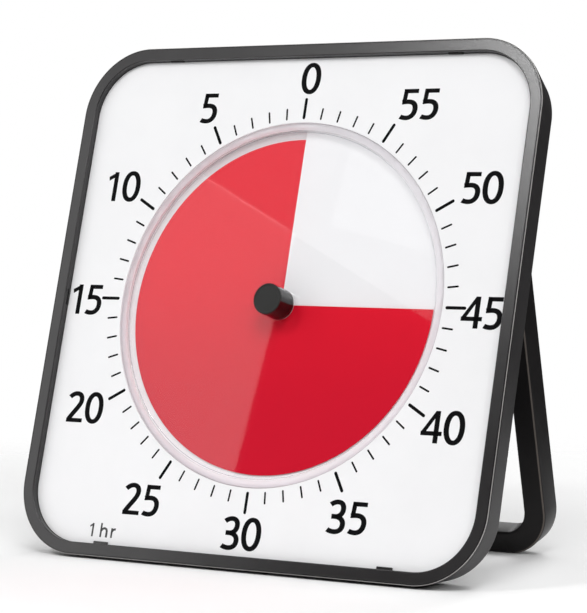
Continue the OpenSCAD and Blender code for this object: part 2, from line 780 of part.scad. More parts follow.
module movement_screws() {
    color([0.6, 0.6, 0.62]) for (p = case_screws) translate(p) {
        ring(small_d / 2, 0, move_z - eps, move_z + small_l);
        ring(small_head_d / 2, 0, move_z - small_head_h, move_z);
    }
}

module pan_screws() {
    z = pan_flange_z - pan_flange_t;
    color([0.6, 0.6, 0.62]) for (i = [0:pan_screw_n - 1]) rotate(360 * i / pan_screw_n)
        translate([pan_screw_r, 0]) {
            ring(small_d / 2, 0, z - eps, z + small_l);
            ring(small_head_d / 2, 0, z - small_head_h, z);
        }
}

module circuit_board() {
    color([0.1, 0.4, 0.25]) translate([board_x - board_w / 2, board_y - board_h / 2, board_z])
        cube([board_w, board_h, board_t]);
}

module board_parts() {
    chip_w = 9;
    chip_t = 1.6;
    side_x = board_x + 12;
    wall = 1;
    color([0.12, 0.12, 0.13]) {
        translate([board_x - chip_w / 2, board_y, board_z - chip_t]) cube([chip_w, chip_w, chip_t]);
        translate([side_x, board_y - 8, 0]) ring(3, 0, board_z - switch_body, board_z);
        translate([side_x, board_y + 6, 0]) ring(1.5, 0, board_z - switch_body, board_z);
        translate([switch_x, switch_y, board_z - switch_body / 2]) difference() {
            cube([switch_body_l, switch_body_w, switch_body], center = true);
            translate([0, 0, -wall]) cube([stem_w + 2 * switch_travel + 2 * button_gap,
                stem_w + 2 * button_gap, switch_body], center = true);
        }
    }
}

module buzzer() {
    color([0.1, 0.1, 0.11]) translate([buzzer_x, buzzer_y, 0]) difference() {
        ring(buzzer_d / 2, 0, board_z - buzzer_h, board_z);
        ring(sound_hole_d / 2, 0, board_z - buzzer_h - 1, board_z - buzzer_h / 2);
    }
}

module sound_switch() {
    stem_z = board_z - switch_body / 2;
    base_z = case_z + case_wall / 2;
    color([0.75, 0.75, 0.77]) translate([switch_x, switch_y, 0]) {
        translate([-stem_w / 2, -stem_w / 2, base_z - eps]) cube([stem_w, stem_w, stem_z - base_z + eps]);
        translate([-button_l / 2, -button_w / 2, back_z - button_out])
            cube([button_l, button_w, base_z - back_z + button_out]);
    }
}

module rear_cover() {
    rib = door_rib;
    post_r = boss_r + screw_gap;
    color([0.25, 0.25, 0.26]) difference() {
        union() {
            difference() {
                cover_body(0, back_z, cover_z);
                cover_body(cover_wall, cover_in_z, cover_z + 1);
            }
            for (p = cover_spots) translate(p) ring(post_r, 0, cover_in_z - eps, boss_end);
            translate([bay_x - bay_len / 2 - bay_wall, bay_y - bay_h / 2 - bay_wall, cover_in_z - eps])
                cube([bay_len + 2 * bay_wall, bay_h + 2 * bay_wall, bay_floor_z + bay_wall - cover_in_z]);
            translate([bay_x - door_w / 2 - rib, bay_y - door_h / 2 - rib, cover_in_z - eps])
                cube([door_w + 2 * rib, door_h + 2 * rib, rib]);
        }
        for (p = cover_spots) translate(p) {
            ring(screw_d / 2 + screw_gap, 0, cover_in_z - 1, boss_end + 1);
            ring(screw_head_d / 2 + screw_gap, 0, back_z - 1, seat_z);
        }
        translate([bay_x - bay_len / 2, bay_y - bay_h / 2, back_z - 1])
            cube([bay_len, bay_h, bay_floor_z - back_z + 1]);
        translate([bay_x - door_w / 2 - door_gap, bay_y - door_h / 2 - door_gap, back_z - 1])
            cube([door_w + 2 * door_gap, door_h + 2 * door_gap, door_t + 1]);
        translate([switch_x, switch_y, back_z]) cube([slot_l, slot_w, 4 * cover_wall], center = true);
        sound_holes(back_z, cover_in_z);
        for (x = strip_x) translate([x - strip_gap, bay_y + bay_h / 2 - 1, strip_in_z - 1])
            cube([strip_w + 2 * strip_gap, bay_wall + 2, strip_t + 1]);
    }
}

module stand_ears() {
    color([0.25, 0.25, 0.26])
        for (i = [-1, 1], x = [stand_half + ear_gap, stand_half - leg_w - ear_gap - ear_t])
            translate([i > 0 ? x : -x - ear_t, hinge_y, pivot_z]) rotate([0, 90, 0]) difference() {
                union() {
                    cylinder(r = ear_r, h = ear_t);
                    translate([pivot_z - back_z, -ear_r, 0])
                        cube([back_z - pivot_z, 2 * ear_r, ear_t]);
                }
                translate([0, 0, -1]) cylinder(d = pin_d, h = ear_t + 2);
            }
}

module cover_screws() {
    color([0.5, 0.5, 0.52]) for (p = cover_spots) translate(p) {
        ring(screw_d / 2, 0, seat_z - eps, seat_z + screw_l);
        ring(screw_head_d / 2, 0, seat_z - screw_head_h, seat_z);
    }
}

module battery_door() {
    color([0.25, 0.25, 0.26]) difference() {
        translate([bay_x - door_w / 2, bay_y - door_h / 2, back_z]) cube([door_w, door_h, door_t]);
        for (i = [2:4]) translate([bay_x, bay_y - door_h / 2 + 2 * i * grip_w, back_z])
            cube([grip_l, grip_w, grip_w], center = true);
    }
}

module batteries() {
    color([0.75, 0.6, 0.3]) for (i = [-1, 1]) translate([bay_x, bay_y + i * pitch_y / 2, cell_z])
        rotate([0, 90 * i, 0]) {
            ring(cell_d / 2, 0, (spring_l - cell_l) / 2, (spring_l + cell_l) / 2 - nub_h);
            ring(nub_d / 2, 0, (spring_l + cell_l) / 2 - nub_h - eps, (spring_l + cell_l) / 2);
        }
}

module battery_contacts() {
    end = (cell_l + spring_l) / 2;
    color([0.7, 0.7, 0.72]) {
        for (i = [-1, 1]) translate([bay_x + i * (end + strip_t / 2), bay_y, cell_z])
            cube([strip_t, bay_h - 2 * strip_gap, 0.8 * cell_d], center = true);
        for (i = [-1, 1]) translate([bay_x, bay_y + i * pitch_y / 2, cell_z]) rotate([0, 90 * i, 0])
            translate([0, 0, -end]) cylinder(d1 = 0.6 * cell_d, d2 = nub_d, h = spring_l);
        translate([strip_x[1], bay_y + bay_h / 2 - strip_w, strip_in_z])
            cube([bay_x + end + strip_t - strip_x[1], strip_w, strip_t]);
        for (x = [bay_x + end, bay_x - end - strip_t]) translate([x, bay_y + bay_h / 2 - strip_w, cell_z])
            cube([strip_t, strip_w - strip_gap, bay_floor_z - cell_z]);
        for (x = strip_x) translate([x, 0, 0]) {
            translate([0, bay_y + bay_h / 2 - strip_w, strip_in_z])
                cube([strip_w, strip_out_y - bay_y - bay_h / 2 + strip_w, strip_t]);
            translate([0, strip_out_y - strip_t, board_z - strip_t])
                cube([strip_w, strip_t, bay_floor_z - board_z + strip_t]);
            translate([0, strip_out_y - strip_t, board_z - strip_t])
                cube([strip_w, board_y - board_h / 2 + post_in - strip_out_y, strip_t]);
        }
    }
}

module stand() {
    inner = stand_half - leg_w;
    foot = -leg_down;
    heel = heel_l + leg_t;
    color([0.22, 0.22, 0.23]) difference() {
        translate([0, 0, -leg_half]) linear_extrude(leg_t) difference() {
            union() {
                translate([-stand_half, foot + stand_r]) square([stand_w, leg_down - stand_r + heel_l]);
                translate([-stand_half + stand_r, foot]) square([stand_w - 2 * stand_r, stand_r + 1]);
                for (i = [-1, 1]) translate([i * (stand_half - stand_r), foot + stand_r]) circle(stand_r);
            }
            translate([-inner, foot + stand_r]) square([2 * inner, leg_down - stand_r + heel_l + 1]);
            translate([-stand_half + stand_r, foot + leg_w]) square([stand_w - 2 * stand_r, stand_r]);
            for (i = [-1, 1]) translate([i * (stand_half - stand_r), foot + stand_r])
                circle(stand_r - leg_w);
        }
        rotate([-90 - stand_tilt, 0, 0])
            translate([-stand_half - 1, -leg_down, stand_pad_t - drop - 2 * leg_t])
                cube([stand_w + 2, 2 * leg_down, 2 * leg_t]);
        rotate([-stand_tilt - lean, 0, 0])
            translate([-stand_half - 1, -heel, back_z - pivot_z - heel_gap])
                cube([stand_w + 2, 2 * heel, heel]);
        rotate([0, 90, 0]) cylinder(d = pin_d + 2 * run_gap, h = stand_w + 2, center = true);
    }
}

module stand_pins() {
    len = leg_w + 2 * (ear_gap + ear_t);
    color([0.7, 0.7, 0.72]) for (i = [-1, 1]) translate([i * (stand_half - leg_w / 2), hinge_y, pivot_z])
        rotate([0, 90, 0]) cylinder(d = pin_d, h = len, center = true);
}

module stand_pads() {
    flat_l = stand_cut * (tan(stand_tilt) + 1 / tan(stand_tilt));
    flat_front = pivot_py + (drop - stand_pad_t) * tan(stand_tilt) - leg_half / cos(stand_tilt);
    color([0.12, 0.12, 0.12]) for (i = [-1, 1])
        translate([i * stand_pad_x - stand_pad_l / 2, flat_front + stand_pad_in + shift_y, 0])
            cube([stand_pad_l, flat_l - 2 * stand_pad_in, stand_pad_t]);
}

module body_pads() {
    side = [for (z = [-pad_front, round_top_z]) let (y = -half + (cover_z - z) * tan(draft))
        [shift_y - z * cos(lean) + y * sin(lean), y * cos(lean) + z * sin(lean) - floor_rel]];
    color([0.12, 0.12, 0.12]) for (i = [-1, 1]) translate([i * body_pad_x - body_pad_l / 2, 0, 0])
        rotate([90, 0, 90]) linear_extrude(body_pad_l)
            polygon([[side[0][0], 0], [side[1][0], 0], side[1], side[0]]);
}

dial_frame() front_bezel();
dial_frame() dial_plate();
dial_frame() dial_pan();
dial_frame() lens();
dial_frame() white_sheet();
dial_frame() red_disc();
dial_frame() disc_hub();
dial_frame() knob();
dial_frame() spindle();
dial_frame() spindle_bush();
dial_frame() main_wheel();
dial_frame() clutch_spring();
dial_frame() retaining_ring();
dial_frame() idler_gear();
dial_frame() idler_arbor();
dial_frame() motor_pinion();
dial_frame() motor();
dial_frame() movement_plate();
dial_frame() movement_case();
dial_frame() movement_screws();
dial_frame() pan_screws();
dial_frame() circuit_board();
dial_frame() board_parts();
dial_frame() buzzer();
dial_frame() sound_switch();
dial_frame() rear_cover();
dial_frame() cover_screws();
dial_frame() battery_door();
dial_frame() batteries();
dial_frame() battery_contacts();
dial_frame() stand_ears();
stand_frame() stand();
dial_frame() stand_pins();
stand_pads();
body_pads();
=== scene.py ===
import bpy
import bmesh
import numpy as np
from mathutils import Matrix, Vector
from mathutils.geometry import tessellate_polygon


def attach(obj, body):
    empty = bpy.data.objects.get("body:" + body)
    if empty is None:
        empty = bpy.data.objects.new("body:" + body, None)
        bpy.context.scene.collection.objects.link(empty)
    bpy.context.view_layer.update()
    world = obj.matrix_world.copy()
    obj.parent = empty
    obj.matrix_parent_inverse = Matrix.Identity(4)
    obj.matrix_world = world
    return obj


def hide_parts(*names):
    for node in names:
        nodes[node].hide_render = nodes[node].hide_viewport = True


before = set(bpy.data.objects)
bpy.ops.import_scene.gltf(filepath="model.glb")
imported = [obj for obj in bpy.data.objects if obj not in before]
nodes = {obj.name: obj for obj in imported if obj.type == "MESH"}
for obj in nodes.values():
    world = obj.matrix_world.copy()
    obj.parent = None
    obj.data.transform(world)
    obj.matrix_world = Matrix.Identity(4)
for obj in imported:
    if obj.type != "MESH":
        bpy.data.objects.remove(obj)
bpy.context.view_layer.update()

# The body is drawn in the dial's own frame, in millimetres: x right, y up the dial, z out of it
body = {
    "half": 215.5,        # half of the front's width
    "corner": 58.0,       # outer corner radius
    "lean": 16.0,         # lean back from upright, degrees
    "shiftY": -50.5579,
    "dialUp": 208.295,    # height of the dial's middle over the table
    "cornerSteps": 40,    # points round each corner
    "sharpAngle": 32.0,   # edges sharper than this stay crisp
}


def toRow(points):
    # Row frame = the dial frame leaned back: Y = shift - z cos + y sin, Z = up + y cos + z sin, in metres
    lean = np.radians(body["lean"])
    x, y, z = points[..., 0], points[..., 1], points[..., 2]
    return 0.001 * np.stack([x, body["shiftY"] - z * np.cos(lean) + y * np.sin(lean),
                             body["dialUp"] + y * np.cos(lean) + z * np.sin(lean)], axis=-1)


def around(a):
    # Unit directions at angles: (cos a, sin a)
    return np.stack([np.cos(a), np.sin(a)], axis=1)


def roundBox(halfX, halfY, radius, steps=12, centre=(0, 0)):
    # Outline of a rounded rectangle: corner centre + radius (cos a, sin a), with the normal (cos a, sin a)
    angle = np.linspace(0, np.pi / 2, steps)
    points, normals = [], []
    for quarter, (sx, sy) in enumerate([(1, 1), (-1, 1), (-1, -1), (1, -1)]):
        a = angle + quarter * np.pi / 2
        normal = around(a)
        points.append(np.array([sx * (halfX - radius), sy * (halfY - radius)]) + radius * normal)
        normals.append(normal)
    return np.vstack(points) + np.array(centre), np.vstack(normals)


def circle(radius, steps=48, centre=(0, 0)):
    # Outline of a circle: centre + radius (cos a, sin a)
    normal = around(np.arange(steps) * 2 * np.pi / steps)
    return np.array(centre) + radius * normal, normal


def eased(corners, radii, steps=5, closed=False):
    # Polyline with each corner replaced by an arc of its radius, tangent to both sides:
    # centre + radius * slerp between the two contact directions; a point past each end keeps the flats flat
    corners = np.array(corners, float)
    count = len(corners)
    pieces = []
    for i in range(count):
        radius = radii[i] if np.ndim(radii) else radii
        if radius <= 0 or (not closed and i in (0, count - 1)):
            pieces.append(corners[i:i + 1])
            continue
        toward = corners[i - 1] - corners[i]
        onward = corners[(i + 1) % count] - corners[i]
        u, v = toward / np.linalg.norm(toward), onward / np.linalg.norm(onward)
        halfAngle = 0.5 * np.arccos(np.clip(u @ v, -1, 1))
        if halfAngle > 1.55:
            pieces.append(corners[i:i + 1])
            continue
        middle = (u + v) / np.linalg.norm(u + v) * radius / np.sin(halfAngle)
        reach = radius / np.tan(halfAngle)
        a, b = (u * reach - middle) / radius, (v * reach - middle) / radius
        turn = np.pi - 2 * halfAngle
        s = np.linspace(0, 1, steps)[:, None]
        arc = (np.sin((1 - s) * turn) * a + np.sin(s * turn) * b) / np.sin(turn)
        hold = [min(reach + 0.3 * radius, 0.5 * (reach + np.linalg.norm(side))) for side in (toward, onward)]
        pieces += [[corners[i] + hold[0] * u], corners[i] + middle + radius * arc, [corners[i] + hold[1] * v]]
    return np.vstack(pieces)


def pathNormal(path, closed=False):
    # Unit normal to the left of a path, square to the line between each point's neighbours
    along = np.roll(path, -1, 0) - np.roll(path, 1, 0) if closed else np.gradient(path, axis=0)
    along /= np.linalg.norm(along, axis=1)[:, None]
    return np.stack([-along[:, 1], along[:, 0]], axis=1)


def gridFaces(rows, columns, wrapRows=False, wrapColumns=True):
    # Quads of a grid of points; a wrapped side joins its last line to its first
    r = np.arange(rows if wrapRows else rows - 1)[:, None]
    c = np.arange(columns if wrapColumns else columns - 1)[None, :]
    nextRow, nextColumn = (r + 1) % rows, (c + 1) % columns
    return np.stack([r * columns + c, r * columns + nextColumn,
                     nextRow * columns + nextColumn, nextRow * columns + c], axis=-1).reshape(-1, 4).tolist()


def carried(outline, profile, closed=False):
    # Profile carried round an outline: point(i, j) = outline_j + out_i * normal_j, at height_i
    points, normals = outline
    profile = np.asarray(profile, float)
    flat = points[None] + profile[:, 0][:, None, None] * normals[None]
    height = np.broadcast_to(profile[:, 1][:, None, None], flat.shape[:2] + (1,))
    return np.concatenate([flat, height], axis=2).reshape(-1, 3), gridFaces(len(profile), len(points), closed)


def filled(loops, height):
    # Flat region at one height: the first loop bounds it and the others are holes
    triangles = tessellate_polygon([np.c_[loop, np.zeros(len(loop))].tolist() for loop in loops])
    flat = np.vstack(loops)
    return np.c_[flat, np.full(len(flat), height)], [list(t) for t in triangles]


def joined(parts):
    # One list of points and faces from several
    points, faces, start = [], [], 0
    for partPoints, partFaces in parts:
        points.append(partPoints)
        faces += [[start + i for i in face] for face in partFaces]
        start += len(partPoints)
    return np.vstack(points), faces


def newObject(name, data):
    thing = bpy.data.objects.new(name, data)
    bpy.context.scene.collection.objects.link(thing)
    return thing


def makePiece(name, parts, material, rides, replaces=(), place=toRow, sharp=None, weld=0.00001):
    # Joins surfaces into one mesh, welds their seams and poles, and turns all faces outwards
    points, faces = joined(parts)
    mesh = bpy.data.meshes.new(name)
    mesh.from_pydata((place(points) if place else points).tolist(), [], faces)
    work = bmesh.new()
    work.from_mesh(mesh)
    bmesh.ops.remove_doubles(work, verts=work.verts, dist=weld)
    bmesh.ops.recalc_face_normals(work, faces=work.faces)
    work.to_mesh(mesh)
    work.free()
    mesh.polygons.foreach_set("use_smooth", np.ones(len(mesh.polygons), bool))
    mesh.set_sharp_from_angle(angle=np.radians(body["sharpAngle"] if sharp is None else sharp))
    mesh.materials.append(material)
    piece = newObject(name, mesh)
    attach(piece, rides)
    if replaces:
        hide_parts(*replaces)
    return piece


def paintFaces(piece, material, where):
    # Adds a material to a piece and gives it to the faces whose middle, in the dial's frame, passes the test
    mesh = piece.data
    mesh.materials.append(material)
    middle = np.empty(len(mesh.polygons) * 3)
    mesh.polygons.foreach_get("center", middle)
    lean = np.radians(body["lean"])
    x, back, up = (middle.reshape(-1, 3) * 1000 - np.array([0, body["shiftY"], body["dialUp"]])).T
    chosen = where(x, back * np.sin(lean) + up * np.cos(lean), up * np.sin(lean) - back * np.cos(lean))
    number = np.empty(len(mesh.polygons), np.int32)
    mesh.polygons.foreach_get("material_index", number)
    number[chosen] = len(mesh.materials) - 1
    mesh.polygons.foreach_set("material_index", number)


def outward(x, y, half, radius):
    # Distance outside a rounded square: |corner part| + inner part - radius, where the corner part is what
    # passes the corner's centre
    qx, qy = np.abs(x) - (half - radius), np.abs(y) - (half - radius)
    return np.hypot(np.maximum(qx, 0), np.maximum(qy, 0)) + np.minimum(np.maximum(qx, qy), 0) - radius


# Materials

def newMaterial(name):
    material = bpy.data.materials.new(name)
    material.use_nodes = True
    tree = material.node_tree
    return material, tree, tree.nodes["Principled BSDF"]


def setInputs(tree, node, inputs):
    # Each input takes a link where another node's output is given, and otherwise a value
    for name, source in inputs.items():
        if isinstance(source, bpy.types.NodeSocket):
            tree.links.new(source, node.inputs[name])
        else:
            node.inputs[name].default_value = source


def newNode(tree, kind, inputs=None, **choices):
    # Shader node of a kind, with its choices, such as an operation, and its inputs
    node = tree.nodes.new("ShaderNode" + kind)
    for name, choice in choices.items():
        setattr(node, name, choice)
    setInputs(tree, node, inputs or {})
    return node


surface = {  # noises and reliefs that the materials share; depths in metres
    "cloudDetail": 3.0, "cloudSpan": (0.35, 0.65), "noiseRough": 0.6, "grainDetail": 2.0, "grainDepth": 0.0004,
    "drawnDetail": 5.0, "drawnSpan": (0.3, 0.7), "drawnStretch": (60.0, 60.0, 900.0),
    "rippleScale": 6.0, "rippleDetail": 1.0, "rippleStrength": 0.02, "rippleDepth": 0.0005,
}


def objectNoise(tree, scale, detail):
    # Noise on the object's own coordinates, so that it stays on the piece
    place = newNode(tree, "TexCoord")
    return newNode(tree, "TexNoise", {"Scale": scale, "Detail": detail, "Roughness": surface["noiseRough"],
                                      "Vector": place.outputs["Object"]}).outputs["Fac"]


def ramp(tree, source, span, stops):
    # Colour that runs from one stop to the other between two values of the source
    node = newNode(tree, "ValToRGB", {"Fac": source})
    for element, position, stop in zip(node.color_ramp.elements, span, stops):
        element.position = position
        element.color = (*stop, 1)
    return node.outputs["Color"]


def spread(tree, source, ends):
    # Value that runs between two ends with a source that runs from 0 to 1
    return newNode(tree, "MapRange", {"To Min": ends[0], "To Max": ends[1], "Value": source}).outputs["Result"]


def plastic(name, dark, light, rough=(0.4, 0.5), grain=900.0, bump=0.05, specular=0.5, cloud=14.0):
    # Moulded plastic: a cloudy change of shade, and a fine eroded grain as bump that roughness follows
    material, tree, shader = newMaterial(name)
    s = surface
    clouds = objectNoise(tree, cloud, s["cloudDetail"])
    fine = objectNoise(tree, grain, s["grainDetail"])
    relief = newNode(tree, "Bump", {"Strength": bump, "Distance": s["grainDepth"], "Height": fine})
    setInputs(tree, shader, {
        "Base Color": ramp(tree, clouds, s["cloudSpan"], (dark, light)),
        "Roughness": spread(tree, fine, rough), "Specular IOR Level": specular,
        "Normal": relief.outputs["Normal"]})
    return material


def metal(name, dark, light, rough=(0.25, 0.4)):
    # Metal: brushed or plated, its noise stretched one way for the drawn marks
    material, tree, shader = newMaterial(name)
    s = surface
    place = newNode(tree, "TexCoord")
    mapping = newNode(tree, "Mapping", {"Scale": s["drawnStretch"], "Vector": place.outputs["Object"]})
    noise = newNode(tree, "TexNoise", {"Scale": 1.0, "Detail": s["drawnDetail"],
                                       "Vector": mapping.outputs["Vector"]}).outputs["Fac"]
    setInputs(tree, shader, {
        "Base Color": ramp(tree, noise, s["drawnSpan"], (dark, light)),
        "Roughness": spread(tree, noise, rough), "Metallic": 1.0})
    return material


def fadeUp(material, low, high, stops):
    # Base colour by the height of the object's own coordinates: a smooth step between two heights, in metres
    tree = material.node_tree
    place = newNode(tree, "TexCoord")
    split = newNode(tree, "SeparateXYZ", {"Vector": place.outputs["Object"]})
    rise = newNode(tree, "MapRange", {"From Min": low, "From Max": high, "Value": split.outputs["Z"]},
                   interpolation_type="SMOOTHSTEP")
    setInputs(tree, tree.nodes["Principled BSDF"],
              {"Base Color": ramp(tree, rise.outputs["Result"], (0, 1), stops)})


def clearPlastic(name, tint, rough, index, haze=0.0, milk=(0.93, 0.91, 0.93)):
    # Clear moulding: straight-through light or a glossy reflection, with a share of white haze in thick parts
    material, tree, shader = newMaterial(name)
    tree.nodes.remove(shader)
    s = surface
    ripple = objectNoise(tree, s["rippleScale"], s["rippleDetail"])
    relief = newNode(tree, "Bump", {"Strength": s["rippleStrength"], "Distance": s["rippleDepth"],
                                    "Height": ripple})
    through = newNode(tree, "BsdfTransparent", {"Color": (*tint, 1)})
    shine = newNode(tree, "BsdfGlossy", {"Roughness": rough, "Normal": relief.outputs["Normal"]})
    # Share reflected = normal share + (1 - normal share) * (1 - cos)^5, the same from both sides of a face
    straight = ((index - 1) / (index + 1)) ** 2
    weight = newNode(tree, "LayerWeight", {"Blend": 0.5})
    fifth = newNode(tree, "Math", {0: weight.outputs["Facing"], 1: 5.0}, operation="POWER")
    edge = newNode(tree, "Math", {0: fifth.outputs["Value"], 1: 1.0 - straight, 2: straight},
                   operation="MULTIPLY_ADD")
    blend = newNode(tree, "MixShader", {"Fac": edge.outputs["Value"], 1: through.outputs["BSDF"],
                                        2: shine.outputs["BSDF"]})
    # The haze sends half its light back and half on through
    back = newNode(tree, "BsdfDiffuse", {"Color": (*milk, 1)})
    onward = newNode(tree, "BsdfTranslucent", {"Color": (*milk, 1)})
    milky = newNode(tree, "MixShader", {1: back.outputs["BSDF"], 2: onward.outputs["BSDF"]})
    cast = newNode(tree, "MixShader", {"Fac": haze, 1: blend.outputs["Shader"], 2: milky.outputs["Shader"]})
    setInputs(tree, tree.nodes["Material Output"], {"Surface": cast.outputs["Shader"]})
    return material


# Plastics: darkest and lightest shade, roughness, grain's scale, grain's height, gloss
print("materials")
charcoal = plastic("charcoalPlastic", (0.018, 0.0168, 0.0175), (0.025, 0.0238, 0.0245),
                   (0.17, 0.25), 1000.0, 0.14)
coverPlastic = plastic("coverPlastic", (0.030, 0.0285, 0.0292), (0.037, 0.0352, 0.0362),
                       (0.40, 0.50), 1400.0, 0.10, 0.08)
# Painted highlight: a light grey for the lit line along the bezel's lip
paintedLipHighlight = plastic("paintedLipHighlight", (0.30, 0.288, 0.28), (0.37, 0.357, 0.35), (0.25, 0.35), 1400.0, 0.05, 0.5)
standBlack = plastic("standPlastic", (0.0095, 0.0085, 0.0088), (0.0130, 0.0118, 0.0122),
                     (0.30, 0.40), 1400.0, 0.07, 0.18)
# Painted highlight: a lighter brown for the lit line along the stand's outer front edge
paintedStandHighlight = plastic("paintedStandHighlight", (0.07, 0.058, 0.050), (0.10, 0.084, 0.074), (0.30, 0.40), 1400.0, 0.05, 0.3)
dialWhite = plastic("dialWhite", (0.84, 0.84, 0.85), (0.86, 0.86, 0.87), (0.40, 0.48), 500.0, 0.01, 0.2)
panWhite = plastic("panWhite", (0.86, 0.86, 0.87), (0.88, 0.88, 0.89), (0.45, 0.55), 700.0, 0.03, 0.2)
sheetWhite = plastic("sheetWhite", (0.89, 0.89, 0.90), (0.91, 0.91, 0.92), (0.5, 0.6), 700.0, 0.02, 0.1)
discRed = plastic("discRed", (0.73, 0.007, 0.029), (0.75, 0.009, 0.032), (0.5, 0.6), 700.0, 0.004, 0.05)
# Painted shade: the red is darker towards the bottom of the disc, in its own coordinates, so the shade turns
# with it
fadeUp(discRed, 0.10, 0.26, ((0.625, 0.006, 0.026), (0.785, 0.009, 0.028)))
printBlack = plastic("printBlack", (0.003, 0.003, 0.0035), (0.0045, 0.0045, 0.005),
                     (0.45, 0.6), 900.0, 0.02, 0.04)
printGrey = plastic("printGrey", (0.075, 0.075, 0.075), (0.09, 0.09, 0.09), (0.45, 0.6), 900.0, 0.02, 0.05)
knobFace = plastic("knobFace", (0.017, 0.0173, 0.0165), (0.021, 0.0213, 0.0205), (0.42, 0.5), 1600.0, 0.06, 0.2)
knobSide = plastic("knobGloss", (0.005, 0.0045, 0.0045), (0.008, 0.007, 0.007), (0.05, 0.09), 300.0, 0.01)
lensClear = clearPlastic("lensClear", (0.996, 0.996, 0.998), 0.02, 1.39)
lensRim = clearPlastic("lensRim", (0.996, 0.996, 0.998), 0.05, 1.30, 0.55, (0.98, 0.945, 0.98))
# Painted shade: a dark grey haze on the lens's step, for the dark line that it shows
paintedStepShade = clearPlastic("paintedStepShade", (0.9, 0.9, 0.94), 0.05, 1.30, 0.6, (0.40, 0.40, 0.46))
springSteel = metal("springSteel", (0.45, 0.45, 0.46), (0.62, 0.62, 0.63))
zincSteel = metal("zincSteel", (0.50, 0.50, 0.49), (0.68, 0.68, 0.66), (0.3, 0.45))
bushBrass = metal("bushBrass", (0.60, 0.42, 0.16), (0.75, 0.56, 0.26))
gearPlastic = plastic("gearPlastic", (0.72, 0.71, 0.66), (0.78, 0.77, 0.72), (0.35, 0.45), 800.0, 0.03)
darkPlastic = plastic("darkPlastic", (0.03, 0.03, 0.032), (0.038, 0.038, 0.04), (0.35, 0.5), 900.0, 0.06)
boardGreen = plastic("boardGreen", (0.01, 0.10, 0.045), (0.015, 0.13, 0.06), (0.25, 0.4), 400.0, 0.04)
chipBlack = plastic("chipBlack", (0.02, 0.02, 0.021), (0.028, 0.028, 0.03), (0.4, 0.5), 1500.0, 0.05)
switchGrey = plastic("switchGrey", (0.42, 0.42, 0.43), (0.47, 0.47, 0.48), (0.4, 0.5), 1100.0, 0.06)
cellJacket = plastic("cellJacket", (0.10, 0.10, 0.11), (0.14, 0.14, 0.15), (0.2, 0.3), 300.0, 0.02)
padRubber = plastic("padRubber", (0.018, 0.018, 0.018), (0.026, 0.026, 0.026), (0.7, 0.85), 1800.0, 0.12, 0.3)

nodeFinish = [  # material, and the nodes of the frame that wear it
    (charcoal, ["front_bezel"]), (coverPlastic, ["rear_cover", "stand_ears", "battery_door"]),
    (dialWhite, ["dial_plate"]), (panWhite, ["dial_pan", "disc_hub"]), (lensClear, ["lens"]),
    (sheetWhite, ["white_sheet"]), (discRed, ["red_disc"]), (knobFace, ["knob"]),
    (springSteel, ["spindle", "clutch_spring", "retaining_ring", "idler_arbor", "battery_contacts",
                   "stand_pins"]),
    (bushBrass, ["spindle_bush"]), (gearPlastic, ["main_wheel", "idler_gear", "motor_pinion"]),
    (zincSteel, ["motor", "movement_screws", "pan_screws", "cover_screws"]),
    (darkPlastic, ["movement_plate", "movement_case"]), (boardGreen, ["circuit_board"]),
    (chipBlack, ["board_parts", "buzzer"]), (switchGrey, ["sound_switch"]), (cellJacket, ["batteries"]),
    (standBlack, ["stand"]), (padRubber, ["stand_pads", "body_pads"]),
]
for finish, names in nodeFinish:
    for name in names:
        nodes[name].data.materials.clear()
        nodes[name].data.materials.append(finish)

# Bezel

bezel = {
    "width": 10.5, "rise": 6.0, "flange": 2.3, "wall": 2.0, "skirtIn": 5.0, "skirtLow": -3.0,
    "carrierTop": -2.0, "carrierBack": -4.0, "carrierR": 151.8,
    "lip": 0.8, "groove": 0.5, "grooveDeep": 0.7, "lipDrop": 0.4, "shine": 0.42,
    "tabL": 13.5, "tabOut": 2.4, "tabOutTop": 0.85, "tabLow": 0.15, "tabT": 1.8, "tabEase": 0.4, "tabX": 132.0,
    "bossR": 4.2, "bossEnd": -12.0, "bossBore": 1.5, "bossSide": 188.0, "bossCorner": 172.0,
    "panBossR": 3.0, "panBossEnd": -8.0, "panBossBore": 1.0, "panBossAt": 158.1, "panBosses": 6,
    "eases": (0, 0.8, 0.25, 0.05, 0.05, 0.1, 0.55, 0.15, 0.2, 0.3, 0.3, 0.2, 0.2, 0),  # corners of the section
    "shineFrom": 0.62, "shineTo": 0.05,   # painted highlight band, down from the lip's top
}


def tube(centre, outer, inner, low, high, steps=32):
    # Short tube about an axis, with its ends joined
    section = eased([(inner, low), (outer, low), (outer, high), (inner, high)], 0.15, 3, True)
    return carried(circle(0, steps, centre), section, True)


def block(centre, halfX, halfY, low, high, ease):
    # Small block: a rounded rectangle carried up, eased at the top and closed over both ends
    outline = roundBox(halfX, halfY, ease, 4, centre)
    side = eased([(-ease, low), (0, low), (0, high), (-ease, high)], ease * 0.8, 4)
    inner = outline[0] - ease * outline[1]
    return [carried(outline, side), filled([inner], low), filled([inner], high)]


def coverSpots():
    # The eight screw places, on the axes and at the corners
    side, corner = bezel["bossSide"], bezel["bossCorner"]
    return [(side, 0), (0, side), (-side, 0), (0, -side), (corner, corner), (-corner, corner),
            (-corner, -corner), (corner, -corner)]


